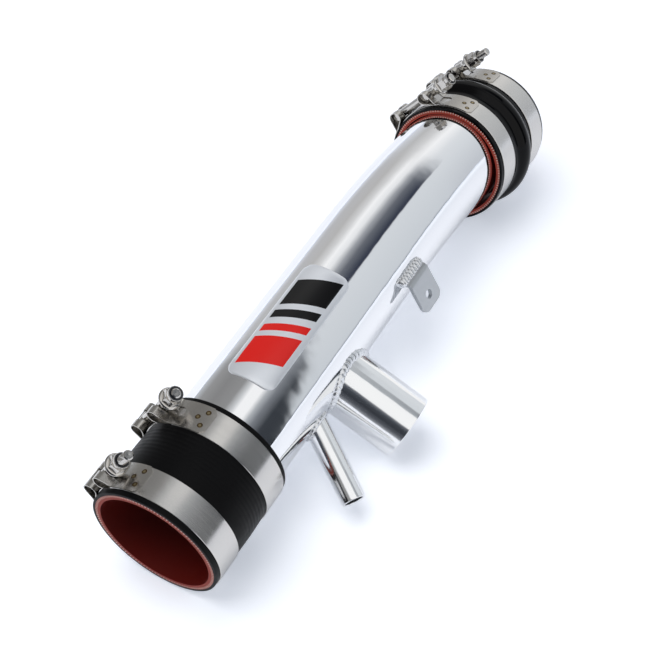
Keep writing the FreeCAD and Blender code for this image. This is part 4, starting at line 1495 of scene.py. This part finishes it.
        flange = rounded([(0.0, bore, 0), (0.0, self.flange, 0.3), (0.7, self.flange, 0.3),
                          (low, cone, 0.4), (low + 0.1, seam, 0)])
        hexagon = grid(np.linspace(low - 0.2, top, 14), asked)
        collar = rounded([(top, lip, 0), (end - 0.5, self.collar - 0.15, 0.3), (end, lip, 0.3),
                          (end, self.insert, 0.1), (deep, self.insert, 0)])
        inside = rounded([(deep, ring, 0), (end - 0.25, ring, 0.2), (end - 0.35, bore + 0.1, 0.2),
                          (deep, bore + 0.1, 0)])
        seat = -self.offset - self.neck_length
        body = np.concatenate([flange, hexagon, collar])
        return [self.across(body, seat, cols, shape=six), self.across(inside, seat, finish=1)]

    def build(self) -> None:
        """Builds the band, the bolt, the trunnion and the nut."""
        band = [self.hoop(), *self.folds(), *self.spots()]
        bright = [BRIGHT_STAINLESS, MOULDED_NYLON]
        for piece, patches, finishes, slot, nodes in (
                ("_band_strip", band, [BAND_STAINLESS, SPOT_WELD, SHADED_STRAP_STAINLESS], Slot.BAND,
                 ["_band"]),
                ("_t_bolt_thread", self.bolt(), bright[:1], Slot.HARDWARE, ["_t_bolt"]),
                ("_trunnion_sleeve", self.trunnion(), bright[:1], Slot.HARDWARE, ["_trunnion"]),
                ("_flange_nut", self.nut(), bright, Slot.HARDWARE, ["_lock_nut", "_nut_insert"])):
            make_piece(self.name + piece, self.frame, patches, finishes,
                       [self.name + node for node in nodes])


# Stage

# Cards round the tent, from the right-hand floor line over the top to the left one
NEAR_CARDS = ((0.0, "#26292E"), (0.05, "#34383E"), (0.2, "#3A3E44"), (0.3, "#7C8086"),
              (0.36, "#B4B8BC"), (0.41, "#FFFFFF"), (0.5, "#FFFFFF"), (0.54, "#D0D2D4"),
              (0.6, "#949494"), (0.75, "#8A8A8A"), (0.9, "#9A9A9A"), (1.0, "#C4C8CE"))
MIDDLE_CARDS = ((0.0, "#8A9098"), (0.02, "#D2D7DC"), (0.36, "#DCE0E4"), (0.372, "#2E3344"),
                (0.42, "#4E535E"), (0.48, "#6A6E76"), (0.54, "#A4A7AC"), (0.6, "#F0F1F2"),
                (0.66, "#FFFFFF"), (0.72, "#DADADA"), (0.8, "#BEBDBC"), (0.93, "#C0C0C2"),
                (1.0, "#DCE0E8"))
FAR_CARDS = ((0.0, "#C8CCD2"), (0.3, "#DCE0E4"), (0.45, "#E4E7EA"), (0.6, "#FFFFFF"),
             (0.72, "#D8D8D8"), (0.85, "#C0C0C0"), (1.0, "#DCE0E8"))
# Cards along the near part of the tent, for the ports, and up its near end, for the clamps
PORT_CARDS = ((0.0, "#62666E"), (0.08, "#50545C"), (0.16, "#7A7E86"), (0.2, "#FFFFFF"),
              (0.86, "#FFFFFF"), (0.88, "#949CA6"), (0.92, "#B6BBC0"), (1.0, "#BEC2C6"))
END_CARDS = ((0.0, "#9A9EA4"), (0.16, "#5A5D64"), (0.45, "#34373E"), (0.8, "#44484F"),
             (1.0, "#62666E"))


@dataclass
class Studio:
    """Floor, tent of reflecting cards, lamps, world and camera.

    Seen places are in the camera's own frame, in millimetres; the stage is in metres.
    """

    tube: Frame
    focal_pixels: float = 1300.0
    image_pixels: float = 650.0
    sensor: float = 36.0
    mouth_seen: tuple[float, float, float] = (-98.7, -126.0, -749.5)
    axis_seen: tuple[float, float, float] = (0.498, 0.679, -0.539)
    floor_half: float = 4.0
    floor_drop: float = 0.0004
    floor_fade: tuple[float, float] = (0.5, 1.3)
    floor_glow: tuple[float, float] = (0.42, 1.1)
    floor_glossy: float = 0.55
    tent_radius: float = 2.0
    tent_far: float = 6.0
    world_light: float = 0.25

    def camera(self) -> None:
        """Camera from where it sees the tube's mouth and axis, held level.

        Its down angle e makes the seen axis rise by the tube's own lift: y cos e + z sin e = lift.
        """
        axis = np.array(self.axis_seen) / np.linalg.norm(self.axis_seen)
        lift = float(self.tube.axes[0, 2])
        size, lead = math.hypot(axis[1], axis[2]), math.atan2(axis[2], axis[1])
        down = lead + math.acos(lift / size)
        up = np.array([0.0, math.cos(down), math.sin(down)])
        ahead = axis - lift * up
        ahead /= np.linalg.norm(ahead)
        seen = np.stack([ahead, np.cross(up, ahead), up])
        data = bpy.data.cameras.new("photo_camera")
        data.sensor_width = self.sensor
        data.lens = self.sensor * self.focal_pixels / self.image_pixels
        data.clip_start, data.clip_end = 0.01, 50.0
        item = add_object("photo_camera", data)
        item.matrix_world = pose(seen, (self.tube.origin - seen @ np.array(self.mouth_seen)) * MM)
        bpy.context.scene.camera = item

    def card(self, name: str, points: np.ndarray, material: bpy.types.Material) -> bpy.types.Object:
        """Makes one stage surface.

        Args:
            name: Object name.
            points: Grid of points in metres.
            material: Its material.

        Returns:
            The object.
        """
        quads, _ = Patch(points, False).faces()
        mesh = bpy.data.meshes.new(name)
        mesh.from_pydata(points.reshape(-1, 3).tolist(), [], quads.tolist())
        mesh.materials.append(material)
        item = add_object(name, mesh)
        return item

    def floor(self) -> None:
        """Pale floor that keeps the shadow, and rises to plain white 1.3 m from the part."""
        near, far = self.floor_fade
        dim, bright = self.floor_glow
        made = bpy.data.materials.new("white_paper_sweep")
        tree = bare_tree(made)
        paper = add_node(tree, "ShaderNodeBsdfDiffuse", None, Color=linear("#F2F2F3"))
        path = add_node(tree, "ShaderNodeLightPath")
        seen = add_node(tree, "ShaderNodeMath", {"operation": "MULTIPLY_ADD"},
                        i0=path.outputs["Is Glossy Ray"], i1=self.floor_glossy,
                        i2=path.outputs["Is Camera Ray"])
        place = add_node(tree, "ShaderNodeTexCoord").outputs["Object"]
        away = add_node(tree, "ShaderNodeVectorMath", {"operation": "LENGTH"}, i0=place)
        span = add_node(tree, "ShaderNodeMapRange", SMOOTH, Value=away.outputs["Value"],
                        From_Min=near, From_Max=far, To_Min=dim, To_Max=bright)
        level = add_node(tree, "ShaderNodeMath", TIMES, i0=seen, i1=span)
        glow = add_node(tree, "ShaderNodeEmission", None, Color=linear("#EAF2FF"), Strength=level)
        both = add_node(tree, "ShaderNodeAddShader", None, i0=paper, i1=glow)
        add_node(tree, "ShaderNodeOutputMaterial", None, Surface=both)
        side = np.array([-self.floor_half, self.floor_half])
        self.card("floor", grid(side[:, None], side, -self.floor_drop), made)

    def tent(self) -> None:
        """Half drum of cards over the part, closed at the near end and seen only in reflections.

        Layers cover each other in turn: the cards along the near part, by length; the near end, by
        height; the near set on the left side; then the near, middle and far sets, each from its own
        length on. A set follows the angle round the drum.
        """
        made = bpy.data.materials.new("studio_cards")
        tree = bare_tree(made)
        place = add_node(tree, "ShaderNodeTexCoord").outputs["Object"]
        parts = add_node(tree, "ShaderNodeSeparateXYZ", None, Vector=place)
        x, y, z = (parts.outputs[key] for key in "XYZ")
        flip = add_node(tree, "ShaderNodeMath", TIMES, i0=y, i1=-1.0)
        turn = add_node(tree, "ShaderNodeMath", {"operation": "ARCTAN2"}, i0=z, i1=flip)
        share = add_node(tree, "ShaderNodeMapRange", None, Value=turn, From_Max=math.pi)
        along = add_node(tree, "ShaderNodeMapRange", None, Value=x, From_Min=-self.tent_radius,
                         From_Max=0.6)
        high = add_node(tree, "ShaderNodeMath", TIMES, i0=z, i1=1.0 / self.tent_radius)
        at_end = add_node(tree, "ShaderNodeMath", {"operation": "LESS_THAN"}, i0=x,
                          i1=0.01 - self.tent_radius)
        at_left = add_node(tree, "ShaderNodeMapRange", SMOOTH, Value=share, From_Min=0.5,
                           From_Max=0.62)
        layers = [(at_end, END_CARDS, high), (at_left, NEAR_CARDS, share)]
        for cards, begin, full in ((NEAR_CARDS, 0.3, 0.5), (MIDDLE_CARDS, 0.88, 1.0),
                                   (FAR_CARDS, 1.9, 2.6)):
            past = add_node(tree, "ShaderNodeMapRange", SMOOTH, Value=x, From_Min=begin,
                            From_Max=full)
            layers.append((past, cards, share))
        colour = add_node(tree, "ShaderNodeValToRGB", {"stops": PORT_CARDS}, Fac=along).outputs[0]
        for cover, cards, where in layers:
            ring = add_node(tree, "ShaderNodeValToRGB", {"stops": cards}, Fac=where)
            mix = add_node(tree, "ShaderNodeMix", COLOURS, i0=cover, i6=colour, i7=ring)
            colour = mix.outputs[2]
        glow = add_node(tree, "ShaderNodeEmission", None, Color=colour, Strength=1.0)
        add_node(tree, "ShaderNodeOutputMaterial", None, Surface=glow)
        a = np.linspace(0.0, np.pi, 65)[:, None]
        lengths = np.linspace(-self.tent_radius, self.tent_far, 9)
        r = np.linspace(0.01, self.tent_radius, 5)
        drum = grid(lengths, -self.tent_radius * np.cos(a), self.tent_radius * np.sin(a))
        end = grid(-self.tent_radius, -r * np.cos(a), r * np.sin(a))
        for name, points in (("studio_tent", drum), ("studio_tent_end", end)):
            item = self.card(name, points, made)
            item.visible_camera = item.visible_diffuse = item.visible_shadow = False
            item.visible_transmission = item.visible_volume_scatter = False

    def lamps(self) -> None:
        """One large soft key from the upper left and a weaker fill from the right."""
        for name, place, size, power in (("key", (-0.35, 0.6, 1.85), 1.8, 33.0),
                                         ("fill", (0.5, -1.4, 1.3), 1.4, 6.0)):
            data = bpy.data.lights.new(name, "AREA")
            data.shape, data.size, data.energy = "SQUARE", size, power
            back = np.array(place) / np.linalg.norm(place)
            side = np.cross([0.0, 0.0, 1.0], back)
            side /= np.linalg.norm(side)
            item = add_object(name, data)
            item.matrix_world = pose(grid(side, np.cross(back, side), back), np.array(place))
            item.visible_glossy = False

    def world(self) -> None:
        """White to the camera, to reflections and through clear things, softer as a light."""
        world = bpy.data.worlds.new("white_surround")
        tree = bare_tree(world)
        path = add_node(tree, "ShaderNodeLightPath")
        seen = path.outputs["Is Camera Ray"]
        for ray in ("Is Glossy Ray", "Is Transmission Ray"):
            seen = add_node(tree, "ShaderNodeMath", {"operation": "MAXIMUM"}, i0=seen,
                            i1=path.outputs[ray])
        power = add_node(tree, "ShaderNodeMapRange", None, Value=seen, To_Min=self.world_light)
        tint = add_node(tree, "ShaderNodeMix", COLOURS, i0=seen, i6=linear("#E4ECFF"),
                        i7=linear("#FFFFFF"))
        sky = add_node(tree, "ShaderNodeBackground", None, Color=tint.outputs[2], Strength=power)
        add_node(tree, "ShaderNodeOutputWorld", None, Surface=sky)
        bpy.context.scene.world = world

    def build(self) -> None:
        """Sets the stage."""
        self.camera()
        self.floor()
        self.tent()
        self.lamps()
        self.world()
        bpy.context.scene.view_settings.view_transform = "Standard"


# The part

HUMP_DROP = 1.9
CLAMP_INSET = 3.5
CLAMP_GAP = 0.1


def tube_frame(record: dict[str, Any]) -> Frame:
    """Frame of the tube from the straight coupler's mount: x into the tube, y level, z up.

    Args:
        record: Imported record.

    Returns:
        The frame at the coupler's mouth.
    """
    mount = next(item for item in record["mounts"] if item["name"] == "straight_coupler_bore")
    out = np.array(mount["axis"]) / np.linalg.norm(mount["axis"])
    mouth = np.array(mount["pos_m"]) / MM + out * mount["dims"]["length_mm"] / 2
    level = np.array([0.0, 1.0, 0.0])
    return Frame(mouth, np.stack([-out, level, np.cross(-out, level)]))


def dress_bridges(nodes: dict[str, bpy.types.Object]) -> None:
    """Gives the clamps' bridge plates, which stay as CAD nodes, the finish of the bands.

    Args:
        nodes: CAD objects by node name.
    """
    for name, item in nodes.items():
        if name.endswith("_bridge"):
            item.data.materials.clear()
            item.data.materials.append(BAND_STAINLESS.material)
            LOG.info("%s: CAD node dressed", name)


def main() -> None:
    """Loads the frame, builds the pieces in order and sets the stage."""
    logging.basicConfig(level=logging.INFO)
    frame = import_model()
    base = tube_frame(frame["record"])
    tube = IntakeTube(base)
    tube.build()
    far_end = tube.hump_frame(HUMP_DROP)
    straight = Coupler(base, "straight_coupler", 38.2, BLACK_SILICONE, step=0.7)
    humped = Coupler(far_end, "hump_coupler", 40.1, GLOSS_SILICONE, hump=5.6)
    straight.build()
    humped.build()
    front = CLAMP_INSET + TBoltClamp.width / 2
    rear = straight.length - front
    # Clamp, its hose, place along it, turn to the right, half the loops' spacing, bolt tail
    for name, hose, along, right, offset, tail in (
            ("near_front", straight, front, 57.0, 9.0, 12.0),
            ("near_rear", straight, rear, 57.0, 14.5, 1.0),
            ("far_front", humped, front, 47.0, 15.5, 1.5),
            ("far_rear", humped, rear, 44.0, 11.0, 8.0)):
        place = hose.frame.shifted(along).turned(0, -right)
        TBoltClamp(place, name, hose.outside + CLAMP_GAP, offset, tail).build()
    dress_bridges(frame["nodes"])
    Studio(base).build()


if __name__ == "__main__":
    main()
